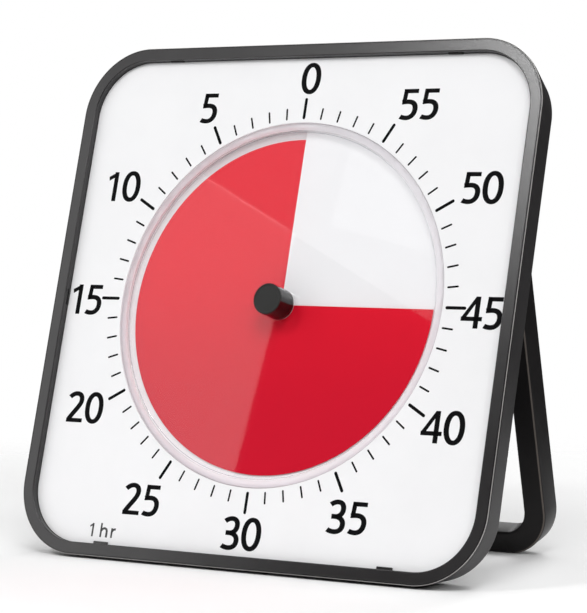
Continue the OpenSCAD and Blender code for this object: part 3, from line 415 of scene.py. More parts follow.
def makeBezel():
    b = bezel
    outline = roundBox(body["half"], body["half"], body["corner"], body["cornerSteps"])
    back = b["rise"] - b["flange"]
    inner = -b["width"]
    grooveOut, grooveIn, lipTop = -b["lip"], -b["lip"] - b["groove"], b["rise"] - b["lipDrop"]
    section = eased([(inner, b["carrierTop"]), (inner, b["rise"]), (grooveIn, b["rise"]),
                     (grooveIn, b["rise"] - b["grooveDeep"]), (grooveOut, b["rise"] - b["grooveDeep"]),
                     (grooveOut, lipTop), (0, lipTop), (0, back),
                     (-b["skirtIn"], back), (-b["skirtIn"], b["skirtLow"]),
                     (-b["skirtIn"] - b["wall"], b["skirtLow"]), (-b["skirtIn"] - b["wall"], back),
                     (inner + b["wall"], back), (inner + b["wall"], b["carrierBack"])], b["eases"], 6)
    bore = circle(b["carrierR"], 160)
    parts = [carried(outline, section),
             filled([outline[0] + inner * outline[1], bore[0]], b["carrierTop"]),
             filled([outline[0] + (inner + b["wall"]) * outline[1], bore[0]], b["carrierBack"]),
             carried(bore, [(0, b["carrierBack"]), (0, b["carrierTop"])])]
    for spot in coverSpots():
        parts.append(tube(spot, b["bossR"], b["bossBore"], b["bossEnd"], b["carrierBack"]))
    for spot in circle(b["panBossAt"], b["panBosses"])[0]:
        parts.append(tube(spot, b["panBossR"], b["panBossBore"], b["panBossEnd"], b["carrierBack"]))
    edge = body["half"] - b["width"]
    reach, reachTop = b["tabOut"] / 2, b["tabOutTop"] / 2
    for x, y, halfX, halfY in ([(sx * b["tabX"], reach - edge, b["tabL"] / 2, reach) for sx in (-1, 1)]
                               + [(sx * b["tabX"], edge - reachTop, b["tabL"] / 2, reachTop) for sx in (-1, 1)]
                               + [(sx * (edge - reachTop), 0, reachTop, b["tabL"] / 2) for sx in (-1, 1)]):
        parts += block((x, y), halfX, halfY, b["tabLow"], b["tabLow"] + b["tabT"], b["tabEase"])
    frameRing = makePiece("bezelFrame", parts, charcoal, "housing", ["front_bezel"])
    # Painted highlight: the lip's rounding is painted lighter, for the light line along its edge
    paintFaces(frameRing, paintedLipHighlight, lambda x, y, z: (outward(x, y, body["half"], body["corner"]) > -b["shine"])
               & (z > lipTop - b["shineFrom"]) & (z < lipTop - b["shineTo"]))


print("bezel")
makeBezel()

# Dial plate and its print

dial = {
    "window": 150.2, "thick": 2.0, "gap": 0.2, "edgeEase": 0.25,
    "printLow": -0.02, "printTop": 0.05,
    "tickIn": 153.0, "minorOut": 163.0, "majorOut": 171.0, "minorWide": 1.55, "majorWide": 2.6,
    "pen": (2.3, 1.9), "capHeight": 25.0, "ovalPower": 0.92,
}


def makePlate():
    half = body["half"] - bezel["width"] - dial["gap"]
    corner = body["corner"] - bezel["width"] - dial["gap"]
    outline, window = roundBox(half, half, corner, 24), circle(dial["window"], 240)
    ease = dial["edgeEase"]
    outer = eased([(-1, 0), (0, 0), (0, -dial["thick"]), (-1, -dial["thick"])], ease, 4)
    inner = eased([(1, 0), (0, 0), (0, -dial["thick"]), (1, -dial["thick"])], ease, 4)
    parts = [carried(outline, outer), carried(window, inner)]
    for height in (0, -dial["thick"]):
        parts.append(filled([outline[0] - outline[1], window[0] + window[1]], height))
    makePiece("dialPlate", parts, dialWhite, "housing", ["dial_plate"])


def ribbon(left, right):
    # Flat printed stroke between two edges, a little thicker than the ink so that it has a closed body
    left, right = np.asarray(left, float), np.asarray(right, float)
    low, top = dial["printLow"], dial["printTop"]
    rings = [np.c_[edge, np.full(len(edge), height)] for edge, height in
             ((left, low), (left, top), (right, top), (right, low))]
    points = np.stack(rings, axis=1)
    count = len(left)
    # A stroke that runs into its own start, such as a nought, needs no ends
    ends = [] if np.allclose(left[0], left[-1]) else [[0, 1, 2, 3], list(range(4 * count - 4, 4 * count))]
    return points.reshape(-1, 3), gridFaces(count, 4, False, True) + ends


def penStroke(centre, pen, closed=False):
    # Edges of a line drawn with an oval nib of half sizes a, b: centre +- (a^2 nx, b^2 ny) / |(a nx, b ny)|
    normal, nib = pathNormal(centre, closed), np.array(pen)
    offset = normal * nib ** 2 / np.linalg.norm(normal * nib, axis=1)[:, None]
    return centre + offset, centre - offset


def inked(strokes, x, top):
    # Ribbons on the dial from strokes given right of a left edge and down from a cap line
    return [ribbon(*(np.array([x, top]) + np.asarray(edge) * (1, -1) for edge in edges)) for edges in strokes]


def curve(*controls, steps=14):
    # Chain of cubic curves: (1-t)^3 a + 3(1-t)^2 t b + 3(1-t) t^2 c + t^3 d
    t = np.linspace(0, 1, steps)[:, None]
    chain = [np.array([controls[0]], float)]
    for k in range(0, len(controls) - 1, 3):
        a, b, c, d = [np.array(p, float) for p in controls[k:k + 4]]
        chain.append(((1 - t) ** 3 * a + 3 * (1 - t) ** 2 * t * b + 3 * (1 - t) * t ** 2 * c + t ** 3 * d)[1:])
    return np.vstack(chain)


def digitStrokes(digit):
    # Edges of one numeral's strokes, in millimetres right of its left edge and down from the cap line
    pen = dial["pen"]
    if digit == "0":
        # Oval: middle + half size * sign(cos, sin) |(cos, sin)|^power
        way = circle(1, 64)[1]
        ring = np.array([8.6, 12.5]) + np.array([6.72, 11.45]) * np.sign(way) * np.abs(way) ** dial["ovalPower"]
        left, right = penStroke(ring, pen, True)
        return [(np.vstack([left, left[:1]]), np.vstack([right, right[:1]]))]
    if digit == "1":
        return [([(5.5, 0), (5.5, 25.3)], [(9.6, 0), (9.6, 25.3)]),
                ([(0, 4.1), (8.0, 0)], [(0.7, 7.5), (8.0, 3.6)])]
    if digit == "2":
        bowl = curve((0.95, 4.3), (3.2, 2.2), (5.3, 1.15), (7.7, 1.15), (10.9, 1.15), (13.0, 3.0), (13.0, 6.3),
                     (13.0, 11.0), (6.4, 16.2), (2.1, 23.2))
        return [penStroke(bowl, pen), ([(0, 21.9), (16.1, 21.9)], [(0, 25.3), (16.1, 25.3)])]
    if digit == "3":
        upper = curve((1.1, 3.5), (3.2, 2.0), (5.1, 1.15), (7.4, 1.15), (10.7, 1.15), (12.6, 3.2), (12.6, 6.3),
                      (12.6, 10.0), (10.0, 12.55), (5.9, 12.55), (4.8, 12.55), (3.8, 12.55), (2.7, 12.55))
        lower = curve((5.6, 12.55), (10.4, 12.55), (13.5, 14.8), (13.5, 18.4), (13.5, 22.2), (10.6, 24.3),
                      (6.6, 24.3), (4.0, 24.3), (2.0, 23.7), (0.3, 22.8))
        return [penStroke(upper, pen), penStroke(lower, pen)]
    if digit == "4":
        return [([(11.1, 0), (11.1, 25.1)], [(15.3, 0), (15.3, 25.1)]),
                ([(0, 15.9), (18.2, 15.9)], [(0, 19.3), (18.2, 19.3)]),
                ([(11.4, 0), (0, 16.9)], [(11.8, 4.9), (4.0, 16.9)])]
    bowl = curve((0.6, 11.0), (2.3, 10.75), (4.2, 10.55), (6.2, 10.55), (10.5, 10.55), (12.9, 12.7),
                 (12.9, 16.4), (12.9, 20.8), (10.1, 23.9), (5.7, 23.9), (3.5, 23.9), (1.6, 23.4), (0.2, 22.8))
    return [([(1.3, 0), (14.3, 0)], [(1.3, 3.5), (14.3, 3.5)]),
            ([(1.35, 0.1), (0.4, 12.8)], [(5.3, 0.1), (4.3, 11.8)]), penStroke(bowl, pen)]


digitWidth = {"0": 17.2, "1": 9.5, "2": 16.1, "3": 15.4, "4": 18.2, "5": 14.9}
numerals = [  # text, place of its middle on the dial, gap between its digits
    ("0", 1.6, 187.5, 0), ("5", -92.9, 164.0, 0), ("10", -167.2, 96.4, 6.0), ("15", -186.3, -1.5, 6.0),
    ("20", -169.8, -93.2, 2.0), ("25", -99.3, -165.9, 3.3), ("30", 0.0, -186.5, 2.6), ("35", 93.1, -167.1, 3.8),
    ("40", 164.8, -93.1, 1.6), ("45", 185.0, -3.1, 2.1), ("50", 171.5, 95.7, 2.3), ("55", 105.5, 164.2, 3.7),
]


def makePrint():
    parts = []
    for text, middleX, middleY, gap in numerals:
        width = sum(digitWidth[d] for d in text) + gap * (len(text) - 1)
        x, top = middleX - width / 2, middleY + dial["capHeight"] / 2
        for digit in text:
            parts += inked(digitStrokes(digit), x, top)
            x += digitWidth[digit] + gap
    for minute in range(60):
        # A tick is a bar with a half-round cap at each end
        kind = "minor" if minute % 5 else "major"
        outer, radius = dial[kind + "Out"], dial[kind + "Wide"] / 2
        cap = np.linspace(0, np.pi / 2, 5)
        along = np.concatenate([dial["tickIn"] + radius * (1 - np.cos(cap)),
                                outer - radius * (1 - np.cos(cap[::-1]))])
        across = radius * np.concatenate([np.sin(cap), np.sin(cap[::-1])])
        a = np.pi / 2 + minute * np.pi / 30
        radial, sideways = np.array([np.cos(a), np.sin(a)]), np.array([-np.sin(a), np.cos(a)])
        parts.append(ribbon(along[:, None] * radial + across[:, None] * sideways,
                            along[:, None] * radial - across[:, None] * sideways))
    makePiece("dialPrint", parts, printBlack, "housing", weld=0.000001)


label = {"left": -145.7, "top": -188.0, "capHeight": 10.9, "pen": (1.0, 0.9)}


def makeLabel():
    # The small words at the dial's lower left: a one, an h and an r in the same pen
    pen, cap = label["pen"], label["capHeight"]
    strokes = [
        ([(2.3, 0), (2.3, cap)], [(4.0, 0), (4.0, cap)]), ([(0, 1.9), (3.3, 0)], [(0.3, 3.3), (3.3, 1.5)]),
        ([(10.6, -0.6), (10.6, cap)], [(12.3, -0.6), (12.3, cap)]),
        penStroke(curve((11.4, 6.2), (12.2, 4.4), (13.4, 3.6), (14.7, 3.6), (16.4, 3.6), (17.2, 4.8),
                        (17.2, 6.6), (17.2, 8.0), (17.2, 9.4), (17.2, cap)), pen),
        ([(21.3, 3.0), (21.3, cap)], [(23.0, 3.0), (23.0, cap)]),
        penStroke(curve((22.1, 6.4), (22.7, 4.6), (23.9, 3.6), (25.8, 3.8)), pen),
    ]
    parts = inked(strokes, label["left"], label["top"])
    makePiece("hourLabel", parts, printGrey, "housing", weld=0.000001)


print("dial and print")
makePlate()
makePrint()
makeLabel()

# Lens, sheets and knob

lens = {"rimR": 150.1, "rimIn": 142.6, "lipR": 146.8, "front": -0.5, "window": -2.2, "back": -4.0,
        "rimBack": -2.4, "hole": 13.0, "slope": 1.2, "foot": 0.2, "toe": 0.6, "hazeFrom": 1.0, "stepHalf": 0.35,
        "steps": 288,
        "eases": (0.3, 0.2, 0.2, 0.3, 0.7, 0.6, 0.3, 0, 0, 0.4)}
sheets = {"pitch": 2.4, "thick": 0.5, "whiteIn": 12.25, "whiteOut": 146.8, "whiteLow": -10.8,
          "redIn": 12.0, "redOut": 138.4, "redWide": 1.2, "redLeft": 1.0, "redLow": -10.2, "redFrom": 270,
          "slit": 0.04, "steps": 240}
knobShape = {"radius": 12.75, "top": 14.5, "bottom": -6.3, "ease": 1.0, "edge": 0.35, "rim": 2.2, "dish": 0.25,
             "eases": (0, 0.4, 0.5, 0.5, 1.0, 0)}


def makeLens():
    l = lens
    section = eased([(l["hole"], l["back"]), (l["lipR"], l["back"]), (l["lipR"], l["rimBack"]),
                     (l["rimR"], l["rimBack"]), (l["rimR"], l["front"]), (l["rimIn"] + l["slope"], l["front"]),
                     (l["rimIn"], l["window"] + l["foot"]), (l["rimIn"] - l["toe"], l["window"]),
                     (l["rimIn"] - 2 * l["toe"], l["window"]), (l["hole"], l["window"])], l["eases"], 6, True)
    disc = makePiece("lensDisc", [carried(circle(0, l["steps"]), section, True)], lensClear, "housing",
                     ["lens"])
    # The rim is hazy, and the step down to the window carries painted shade: a dark grey haze for the dark line
    # that the step shows
    paintFaces(disc, lensRim, lambda x, y, z: np.hypot(x, y) > l["rimIn"] + l["hazeFrom"])
    paintFaces(disc, paintedStepShade, lambda x, y, z: (np.abs(np.hypot(x, y) - l["rimIn"]) < l["stepHalf"])
               & (z > l["window"] + l["foot"] / 2))


def spiral(inner, outer, low, startAngle, wide=0.0, left=0.0):
    # Sheet of one turn: height = low + pitch * share of the turn, with a four-sided section carried round;
    # the outer edge is an oval, radius + wide cos^2 a - left cos a
    s = sheets
    t = np.linspace(0, 1, s["steps"])
    a = np.radians(90 + startAngle + s["slit"] / 2 + (360 - s["slit"]) * t)
    section = np.array([(inner, -1), (outer, -1), (outer, 1), (inner, 1)], float)
    oval = np.where(section[:, 0] > inner, 1.0, 0.0)[None, :]
    radius = section[:, 0][None, :] + oval * (wide * np.cos(a) ** 2 - left * np.cos(a))[:, None]
    height = low + s["pitch"] * t[:, None] + section[:, 1][None, :] * s["thick"] / 2
    points = np.stack([radius * np.cos(a)[:, None], radius * np.sin(a)[:, None], height], axis=-1)
    count = len(t)
    last = 4 * (count - 1)
    return points.reshape(-1, 3), gridFaces(count, 4) + [[0, 1, 2, 3], [last, last + 1, last + 2, last + 3]]


def makeSheets():
    s = sheets
    makePiece("whiteSheet", [spiral(s["whiteIn"], s["whiteOut"], s["whiteLow"], 0)], sheetWhite, "housing",
              ["white_sheet"])
    red = spiral(s["redIn"], s["redOut"], s["redLow"], s["redFrom"], s["redWide"], s["redLeft"])
    makePiece("redDisc", [red], discRed, "disc", ["red_disc"])


def makeKnob():
    k = knobShape
    side = eased([(0, k["bottom"]), (k["radius"], k["bottom"]), (k["radius"], k["top"] - k["edge"]),
                  (k["radius"] - k["ease"], k["top"]), (k["radius"] - k["rim"], k["top"] - k["dish"]),
                  (0, k["top"] - k["dish"])], k["eases"], 6)
    knob = makePiece("knobBody", [carried(circle(0, 96), side)], knobSide, "rotor", ["knob"])
    # The end face is matt
    paintFaces(knob, knobFace, lambda x, y, z: z > k["top"] - 2 * k["dish"])


print("lens, sheets and knob")
makeLens()
makeSheets()
makeKnob()

# Rear cover

cover = {
    "front": 3.45, "back": -35.6, "wall": 2.2, "draft": 14.0, "backR": 8.0, "lipEase": 0.5,
    "wellR": 3.25, "wellSeat": -15.0, "boreR": 1.75, "postR": 4.45, "postEnd": -12.0,
    "bayX": -50.0, "bayY": -64.4, "bayHalfX": 28.6, "bayHalfY": 15.0, "bayFloor": -18.6, "bayWall": 1.4,
    "ledge": 3.4, "ledgeDepth": -33.6, "doorRib": 1.6,
    "slotX": -59.6, "slotY": 23.0, "slotHalfX": 8.9, "slotHalfY": 3.4,
    "soundX": -65.6, "soundY": -19.0, "soundStep": 4.0, "soundR": 1.2,
    "edgeEase": 0.35, "rim": 0.3,
    "wellEases": (0, 0, 0.3, 0.2, 0.1, 0.1, 0.3, 0.2, 0), "bayEases": (0, 0, 0.3, 0.2, 0.2, 0),
}


def coverSide(wall, backHeight):
    # Side section: a drafted line from the front, then an arc down to the flat back
    c = cover
    draft = np.radians(c["draft"])
    radius = c["backR"] - wall / 2
    top = backHeight + radius * (1 - np.sin(draft))
    inset = wall + (c["front"] - top) * np.tan(draft)
    a = np.linspace(draft, np.pi / 2, 9)
    arc = np.stack([-(inset + radius * (np.cos(draft) - np.cos(a))),
                    top - radius * (np.sin(a) - np.sin(draft))], axis=1)
    return np.vstack([[(-wall, c["front"])], arc, [arc[-1] - (1, 0)]])


def makeCover():
    c = cover
    outline = roundBox(body["half"], body["half"], body["corner"], body["cornerSteps"])
    back, inBack = c["back"], c["back"] + c["wall"]
    outer, inner = coverSide(0, back), coverSide(c["wall"], inBack)
    lip = eased([outer[1], (0, c["front"]), (-c["wall"], c["front"]), inner[1]], [0, c["lipEase"], 0.3, 0], 5)
    parts = [carried(outline, np.vstack([outer[:0:-1], lip[1:-1], inner[1:]]))]
    backEdge, inEdge = outline[0] + outer[-1, 0] * outline[1], outline[0] + inner[-1, 0] * outline[1]
    outHoles, inHoles = [], []
    # Each opening has a narrow flat ring round it, so that the shading of the back stays even
    ease, ring = c["edgeEase"], c["edgeEase"] + c["rim"]
    for spot in coverSpots():
        well = eased([(c["wellR"] + ring, back), (c["wellR"] + ease, back), (c["wellR"], back + ease),
                      (c["wellR"], c["wellSeat"]), (c["boreR"], c["wellSeat"]), (c["boreR"], c["postEnd"]),
                      (c["postR"], c["postEnd"]), (c["postR"], inBack), (c["postR"] + ring, inBack)],
                     c["wellEases"], 4)
        parts.append(carried(circle(0, 40, spot), well))
        outHoles.append(circle(c["wellR"] + ring, 40, spot)[0])
        inHoles.append(circle(c["postR"] + ring, 40, spot)[0])
    bay = roundBox(c["bayHalfX"], c["bayHalfY"], 0.5, 6, (c["bayX"], c["bayY"]))
    bayTop = c["bayFloor"] + c["bayWall"]
    parts.append(carried(bay, eased([(c["ledge"] + ring, back), (c["ledge"] + ease, back),
                                     (c["ledge"], back + ease), (c["ledge"], c["ledgeDepth"]),
                                     (0, c["ledgeDepth"]), (0, c["bayFloor"])], c["bayEases"], 4)))
    parts.append(filled([bay[0]], c["bayFloor"]))
    ribOut, ribTop = c["ledge"] + c["doorRib"], inBack + c["doorRib"]
    parts.append(carried(bay, [(ribOut, inBack), (ribOut, ribTop), (c["bayWall"], ribTop),
                               (c["bayWall"], bayTop)]))
    parts.append(filled([bay[0] + c["bayWall"] * bay[1]], bayTop))
    outHoles.append(bay[0] + (c["ledge"] + ring) * bay[1])
    inHoles.append(bay[0] + ribOut * bay[1])
    openings = [roundBox(c["slotHalfX"], c["slotHalfY"], 0.6, 5, (c["slotX"], c["slotY"]))]
    openings += [circle(c["soundR"], 20, (c["soundX"] + c["soundStep"] * i, c["soundY"] + c["soundStep"] * j))
                 for i in (-1, 0, 1) for j in (-1, 0, 1)]
    for opening in openings:
        parts.append(carried(opening, [(ring, back), (ease, back), (0.1, back + 0.12),
                                       (0, back + ease), (0, inBack), (c["rim"], inBack)]))
        outHoles.append(opening[0] + ring * opening[1])
        inHoles.append(opening[0] + c["rim"] * opening[1])
    parts.append(filled([backEdge] + outHoles, back))
    parts.append(filled([inEdge] + inHoles, inBack))
    makePiece("rearShell", parts, coverPlastic, "housing", ["rear_cover"])


print("rear cover")
makeCover()

# Small parts of the back: door, ears, switch and screws

door = {"x": -50.0, "y": -64.4, "halfX": 31.6, "halfY": 18.0, "thick": 2.0, "back": -35.6, "corner": 1.2,
        "ease": 0.35, "gripHalfX": 8.0, "gripHalfY": 0.6, "gripDeep": 0.6, "gripFrom": 4.8, "gripStep": 2.4,
        "gripRim": 0.2, "gripDraft": 0.3, "grips": 3}
ears = {"half": 173.0, "leg": 19.0, "gap": 0.4, "thick": 5.0, "radius": 9.0, "hingeY": 115.7, "pivotZ": -48.6,
        "back": -35.6, "pin": 2.5, "ease": 0.6}
switchKnob = {"x": -59.6, "y": 23.0, "halfX": 4.5, "halfY": 3.0, "out": 1.0, "back": -35.6, "base": -32.3,
              "stemHalf": 1.5, "stemTop": -27.25, "ease": 0.5, "ridgeHalf": 0.35, "ridgeUp": 0.3,
              "ridgeStep": 1.6, "ridgeShort": 0.9, "ridgeDraft": 0.15, "sunk": 0.1}
screws = {"seat": -15.0, "headR": 3.0, "headH": 1.8, "shankR": 1.5, "shankTop": -5.0, "slotLong": 1.7,
          "slotWide": 0.32, "slotDeep": 0.9, "dome": 0.5, "eases": (0, 0.3, 0.1, 0.2, 0.6, 0), "turn": 0.7}


def makeDoor():
    d = door
    outline = roundBox(d["halfX"], d["halfY"], d["corner"], 6, (d["x"], d["y"]))
    front = d["back"] + d["thick"]
    side = eased([(-1, front), (0, front), (0, d["back"]), (-1, d["back"])], d["ease"], 4)
    rim = outline[0] - outline[1]
    firstGrip = d["y"] - d["halfY"] + d["gripFrom"]
    edge, draft = d["gripRim"], d["gripDraft"]
    grooves = [roundBox(d["gripHalfX"], d["gripHalfY"], draft, 4, (d["x"], firstGrip + d["gripStep"] * i))
               for i in range(d["grips"])]
    parts = [carried(outline, side), filled([rim], front),
             filled([rim] + [g[0] + edge * g[1] for g in grooves], d["back"])]
    for groove in grooves:
        low = d["back"] + d["gripDeep"]
        parts += [carried(groove, [(edge, d["back"]), (0, d["back"]), (-draft / 2, low), (-draft, low)]),
                  filled([groove[0] - draft * groove[1]], low)]
    makePiece("doorPanel", parts, coverPlastic, "door", ["battery_door"])


def makeEars():
    # Each ear is a half circle on a straight foot, in the plane square to the hinge, carried along the hinge
    e = ears
    arcOut = around(np.linspace(0, -np.pi, 25))
    arc = np.array([e["hingeY"], e["pivotZ"]]) + e["radius"] * arcOut
    foot = np.array([[e["hingeY"] - e["radius"], e["back"]], [e["hingeY"] + e["radius"], e["back"]]])
    outline = np.vstack([arc, foot]), np.vstack([arcOut, [(-1, 0), (1, 0)]])
    hole = circle(e["pin"] + 0.05, 32, (e["hingeY"], e["pivotZ"]))
    ease = e["ease"]
    inset = outline[0] - ease * outline[1]
    parts = []
    for side in (-1, 1):
        for start in (e["half"] + e["gap"], e["half"] - e["leg"] - e["gap"] - e["thick"]):
            low, high = sorted((side * start, side * (start + e["thick"])))
            section = eased([(-ease, low), (0, low), (0, high), (-ease, high)], ease * 0.85, 5)
            parts += [carried(outline, section), carried(hole, [(0, low), (0, high)])]
            parts += [filled([inset, hole[0]], end) for end in (low, high)]
    makePiece("standEars", parts, coverPlastic, "housing", ["stand_ears"],
              place=lambda p: toRow(p[..., [2, 0, 1]]), sharp=40)


def makeSwitch():
    k = switchKnob
    middle = (k["x"], k["y"])
    outer = roundBox(k["halfX"], k["halfY"], 0.8, 5, middle)
    top = k["back"] - k["out"]
    side = eased([(-1, k["base"]), (0, k["base"]), (0, top), (-1, top)], k["ease"], 4)
    rim = outer[0] - outer[1]
    parts = [carried(outer, side), filled([rim], k["base"]), filled([rim], top)]
    parts += block(middle, k["stemHalf"], k["stemHalf"], k["base"] - k["sunk"], k["stemTop"], 0.2)
    for x in k["x"] + k["ridgeStep"] * np.arange(-1, 2):
        ridge = roundBox(k["ridgeHalf"], k["halfY"] - k["ridgeShort"], 0.2, 3, (x, k["y"]))
        foot, peak = top + k["sunk"], top - k["ridgeUp"]
        parts += [carried(ridge, [(0, foot), (0, top), (-k["ridgeDraft"], peak)]),
                  filled([ridge[0] - k["ridgeDraft"] * ridge[1]], peak), filled([ridge[0]], foot)]
    makePiece("switchCap", parts, switchGrey, "switch", ["sound_switch"])


def makeScrews():
    # Domed head with a cross recess, each turned its own way
    k = screws
    parts = []
    under = k["seat"] - k["headH"]
    long, wide = k["slotLong"], k["slotWide"]
    half = np.array([(long, wide), (wide, wide), (wide, long), (-wide, long), (-wide, wide), (-long, wide)])
    cross = np.vstack([half, -half])
    for i, spot in enumerate(coverSpots()):
        turn = k["turn"] * i
        spin = np.array([[np.cos(turn), np.sin(turn)], [-np.sin(turn), np.cos(turn)]])
        slot = cross @ spin + spot
        flatR = k["headR"] - k["dome"] * 1.2
        parts.append(carried(circle(0, 32, spot), eased([(0, k["shankTop"]), (k["shankR"], k["shankTop"]),
                             (k["shankR"], k["seat"]), (k["headR"], k["seat"]), (k["headR"], under + k["dome"]),
                             (flatR, under)], k["eases"], 5)))
        parts.append(filled([circle(flatR, 32, spot)[0], slot], under))
        parts.append(carried((slot, np.zeros_like(slot)), [(0, under), (0, under + k["slotDeep"])]))
        parts.append(filled([slot], under + k["slotDeep"]))
    makePiece("screwHeads", parts, zincSteel, "housing", ["cover_screws"])


print("small parts of the back")
makeDoor()
makeEars()
makeSwitch()
makeScrews()

# Folding stand: a rounded bar bent into a U

stand = {
    "half": 173.0, "leg": 19.0, "thick": 24.4, "bend": 39.0, "tilt": 14.0, "ease": 2.2,
    "hingeY": 28.0507, "hingeZ": 306.117, "down": 313.477, "heel": 15.0,
    "padT": 1.0, "backLimit": -35.9, "bendSteps": 36, "legSteps": 40,
    "highlightFacets": (2, 3),
}


def makeStand():
    # Section carried along the U: point = path + across * normal, with the thickness square to both;
    # then what would stand under the pads or in the cover is pressed flat
    s = stand
    halfLeg, halfThick = s["leg"] / 2, s["thick"] / 2
    section = roundBox(halfLeg, halfThick, s["ease"], 6)[0]
    mid, bend = s["half"] - halfLeg, s["bend"] - halfLeg
    low = -s["down"] + halfLeg
    top = s["heel"] - 0.01
    right = np.linspace((mid, top), (mid, low + bend), s["legSteps"])
    a = np.linspace(0, -np.pi / 2, s["bendSteps"])[1:]
    turn1 = np.array([mid - bend, low + bend]) + bend * around(a)
    base = np.linspace((mid - bend, low), (bend - mid, low), s["legSteps"])[1:-1]
    turn2 = turn1[::-1] * (-1, 1)
    left = right[::-1] * (-1, 1)
    path = np.vstack([right, turn1, base, turn2, left])
    flat = path[:, None, :] + section[None, :, 0:1] * pathNormal(path)[:, None, :]
    depth = np.broadcast_to(section[None, :, 1:2], flat.shape[:2] + (1,))
    points = np.concatenate([flat, depth], axis=2)
    count, columns = points.shape[:2]
    tilt, lean = np.radians(90 + s["tilt"]), np.radians(body["lean"])
    y = s["hingeY"] + points[..., 1] * np.cos(tilt) - points[..., 2] * np.sin(tilt)
    z = s["hingeZ"] + points[..., 1] * np.sin(tilt) + points[..., 2] * np.cos(tilt)
    z = np.maximum(z, s["padT"])
    out = -(y - body["shiftY"]) * np.cos(lean) + (z - body["dialUp"]) * np.sin(lean)
    over = np.maximum(out - s["backLimit"], 0)
    y, z = y + over * np.cos(lean), z - over * np.sin(lean)
    row = 0.001 * np.stack([points[..., 0], y, z], axis=-1).reshape(-1, 3)
    ends = [list(range(columns)), list(range((count - 1) * columns, count * columns))]
    loop = makePiece("standLoop", [(row, gridFaces(count, columns) + ends)], standBlack, "folding_stand",
                     ["stand"], place=None, sharp=40)
    # Painted highlight: the outer front edge is painted lighter, two facets of the section, all the way along
    loop.data.materials.append(paintedStandHighlight)
    column = np.arange(len(loop.data.polygons)) % columns
    facets = np.isin(column, s["highlightFacets"]) & (np.arange(len(column)) < (count - 1) * columns)
    loop.data.polygons.foreach_set("material_index", facets.astype(np.int32))


print("stand")
makeStand()

# Floor, light and camera

studio = {
    "floor": 1.6, "fadeFrom": 0.42, "fadeTo": 1.05, "worldCamera": 1.0, "worldLight": 0.03,
    "cameraAt": (1.0784, -1.7780, 0.3028), "cameraDirection": (-0.5232, 0.8509, -0.0478),
    "lens": 150.0, "sensor": 36.0, "aim": (0.0, -0.05, 0.21),
    # The side panel's upper front corner, and its edges' directions down and back
    "panelCorner": (-0.825, -1.195, 0.964), "panelDown": (0.011, -0.06, -0.998),
    "panelBack": (-0.297, 0.952, -0.079),
    "floorNoise": 0.6, "floorDetail": 2.0, "floorSpan": (0.3, 0.7),
    "floorShades": ((0.95, 0.95, 0.95), (0.97, 0.97, 0.97)), "floorRough": 0.9, "floorGloss": 0.1,
}
panels = [  # name, metres down and back from the corner to its middle, width, height, radiance
    ("sidePanel", 0.46, 0.488, 1.0, 0.92, 1.72),
    ("upperPanel", -0.488, 0.2, 1.6, 1.0, 1.0),
]
lights = [  # a group's distance, width and height, then each light's name, azimuth from the front towards
    # the reader's right, elevation and radiance
    (1.9, 0.24, 0.24, [("keyLight", -22, 41, 29.9), ("keyLow", -22, 34, 8.3), ("keyLeft", -30, 32, 0.75)]),
    (2.2, 0.90, 0.90, [("rightFill", 31, 46, 7.8), ("rightLow", 55, 25, 3.5), ("rightTop", 80, 60, 2.5),
                       ("rightBack", 110, 20, 3.5), ("backTop", 150, 66, 0.9), ("behind", 180, 45, 6.5),
                       ("leftBack", -120, 40, 1.3)]),
    (2.2, 1.20, 0.60, [("barGlint", -154, 22, 2.6)]),
]


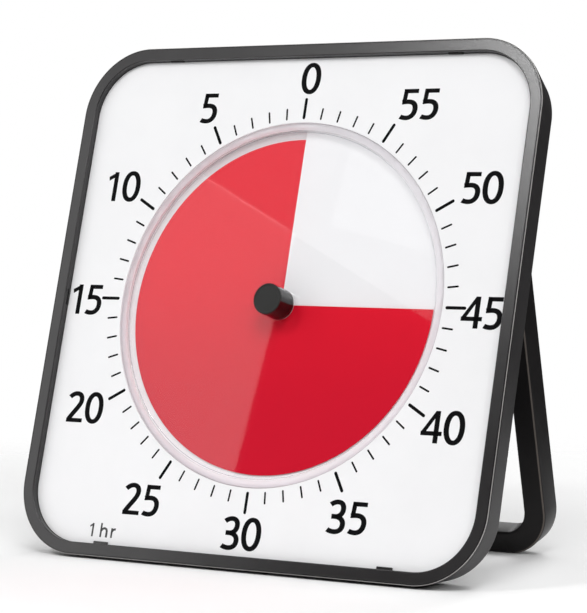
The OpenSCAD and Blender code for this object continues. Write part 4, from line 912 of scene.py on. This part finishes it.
def makeFloor():
    s = studio
    size = s["floor"]
    x, y = np.meshgrid(np.linspace(-size, size, 9), np.linspace(-size, size, 9), indexing="ij")
    points = np.stack([x, y, np.zeros_like(x)], axis=-1).reshape(-1, 3)
    mesh = bpy.data.meshes.new("studioFloor")
    mesh.from_pydata(points.tolist(), [], [face[::-1] for face in gridFaces(9, 9, False, False)])
    floor = newObject("studioFloor", mesh)
    material, tree, shader = newMaterial("floorWhite")
    clouds = objectNoise(tree, s["floorNoise"], s["floorDetail"])
    # The floor thins out into the white round it, by its distance from the middle
    place = newNode(tree, "TexCoord")
    length = newNode(tree, "VectorMath", {0: place.outputs["Object"]}, operation="LENGTH")
    fade = newNode(tree, "MapRange", {"From Min": s["fadeFrom"], "From Max": s["fadeTo"], "To Min": 1.0,
                                      "To Max": 0.0, "Value": length.outputs["Value"]},
                   interpolation_type="SMOOTHSTEP")
    setInputs(tree, shader, {
        "Base Color": ramp(tree, clouds, s["floorSpan"], s["floorShades"]),
        "Roughness": s["floorRough"], "Specular IOR Level": s["floorGloss"], "Alpha": fade.outputs["Result"]})
    mesh.materials.append(material)


def panelLight(name, centre, across, up, width, height, radiance):
    # Area light with its own axes; the power of a panel is radiance * pi * area
    data = bpy.data.lights.new(name, "AREA")
    data.shape = "RECTANGLE"
    data.size, data.size_y = width, height
    data.energy = radiance * np.pi * width * height
    light = newObject(name, data)
    across, up = Vector(across).normalized(), Vector(up).normalized()
    out = across.cross(up)
    turn = Matrix((across, up, out)).transposed().to_4x4()
    light.matrix_world = Matrix.Translation(Vector(centre)) @ turn
    light.visible_camera = False


def makeStudio():
    s = studio
    makeFloor()
    world = bpy.data.worlds.new("studioWorld")
    bpy.context.scene.world = world
    world.use_nodes = True
    tree = world.node_tree
    # The world is white to the camera and dim as a light
    path = newNode(tree, "LightPath")
    setInputs(tree, tree.nodes["Background"], {
        "Color": (1, 1, 1, 1),
        "Strength": spread(tree, path.outputs["Is Camera Ray"], (s["worldLight"], s["worldCamera"]))})
    aim = Vector(s["aim"])
    for distance, width, height, group in lights:
        for name, azimuth, elevation, radiance in group:
            a, e = np.radians(azimuth), np.radians(elevation)
            toLight = Vector((np.sin(a) * np.cos(e), -np.cos(a) * np.cos(e), np.sin(e)))
            across = Vector((0, 0, 1)).cross(toLight)
            panelLight(name, aim + distance * toLight, across, toLight.cross(across), width, height, radiance)
    corner, down, back = (Vector(s[key]) for key in ("panelCorner", "panelDown", "panelBack"))
    for name, lower, further, width, height, radiance in panels:
        panelLight(name, corner + lower * down + further * back, -back, -down, width, height, radiance)
    camera = newObject("photoCamera", bpy.data.cameras.new("photoCamera"))
    camera.data.sensor_fit = "VERTICAL"
    camera.data.sensor_height = s["sensor"]
    camera.data.lens = s["lens"]
    camera.data.clip_end = 100.0
    camera.location = s["cameraAt"]
    camera.rotation_euler = Vector(s["cameraDirection"]).to_track_quat("-Z", "Y").to_euler()
    bpy.context.scene.camera = camera
    view = bpy.context.scene.view_settings
    view.view_transform = "Standard"
    view.look = "None"


print("studio")
makeStudio()
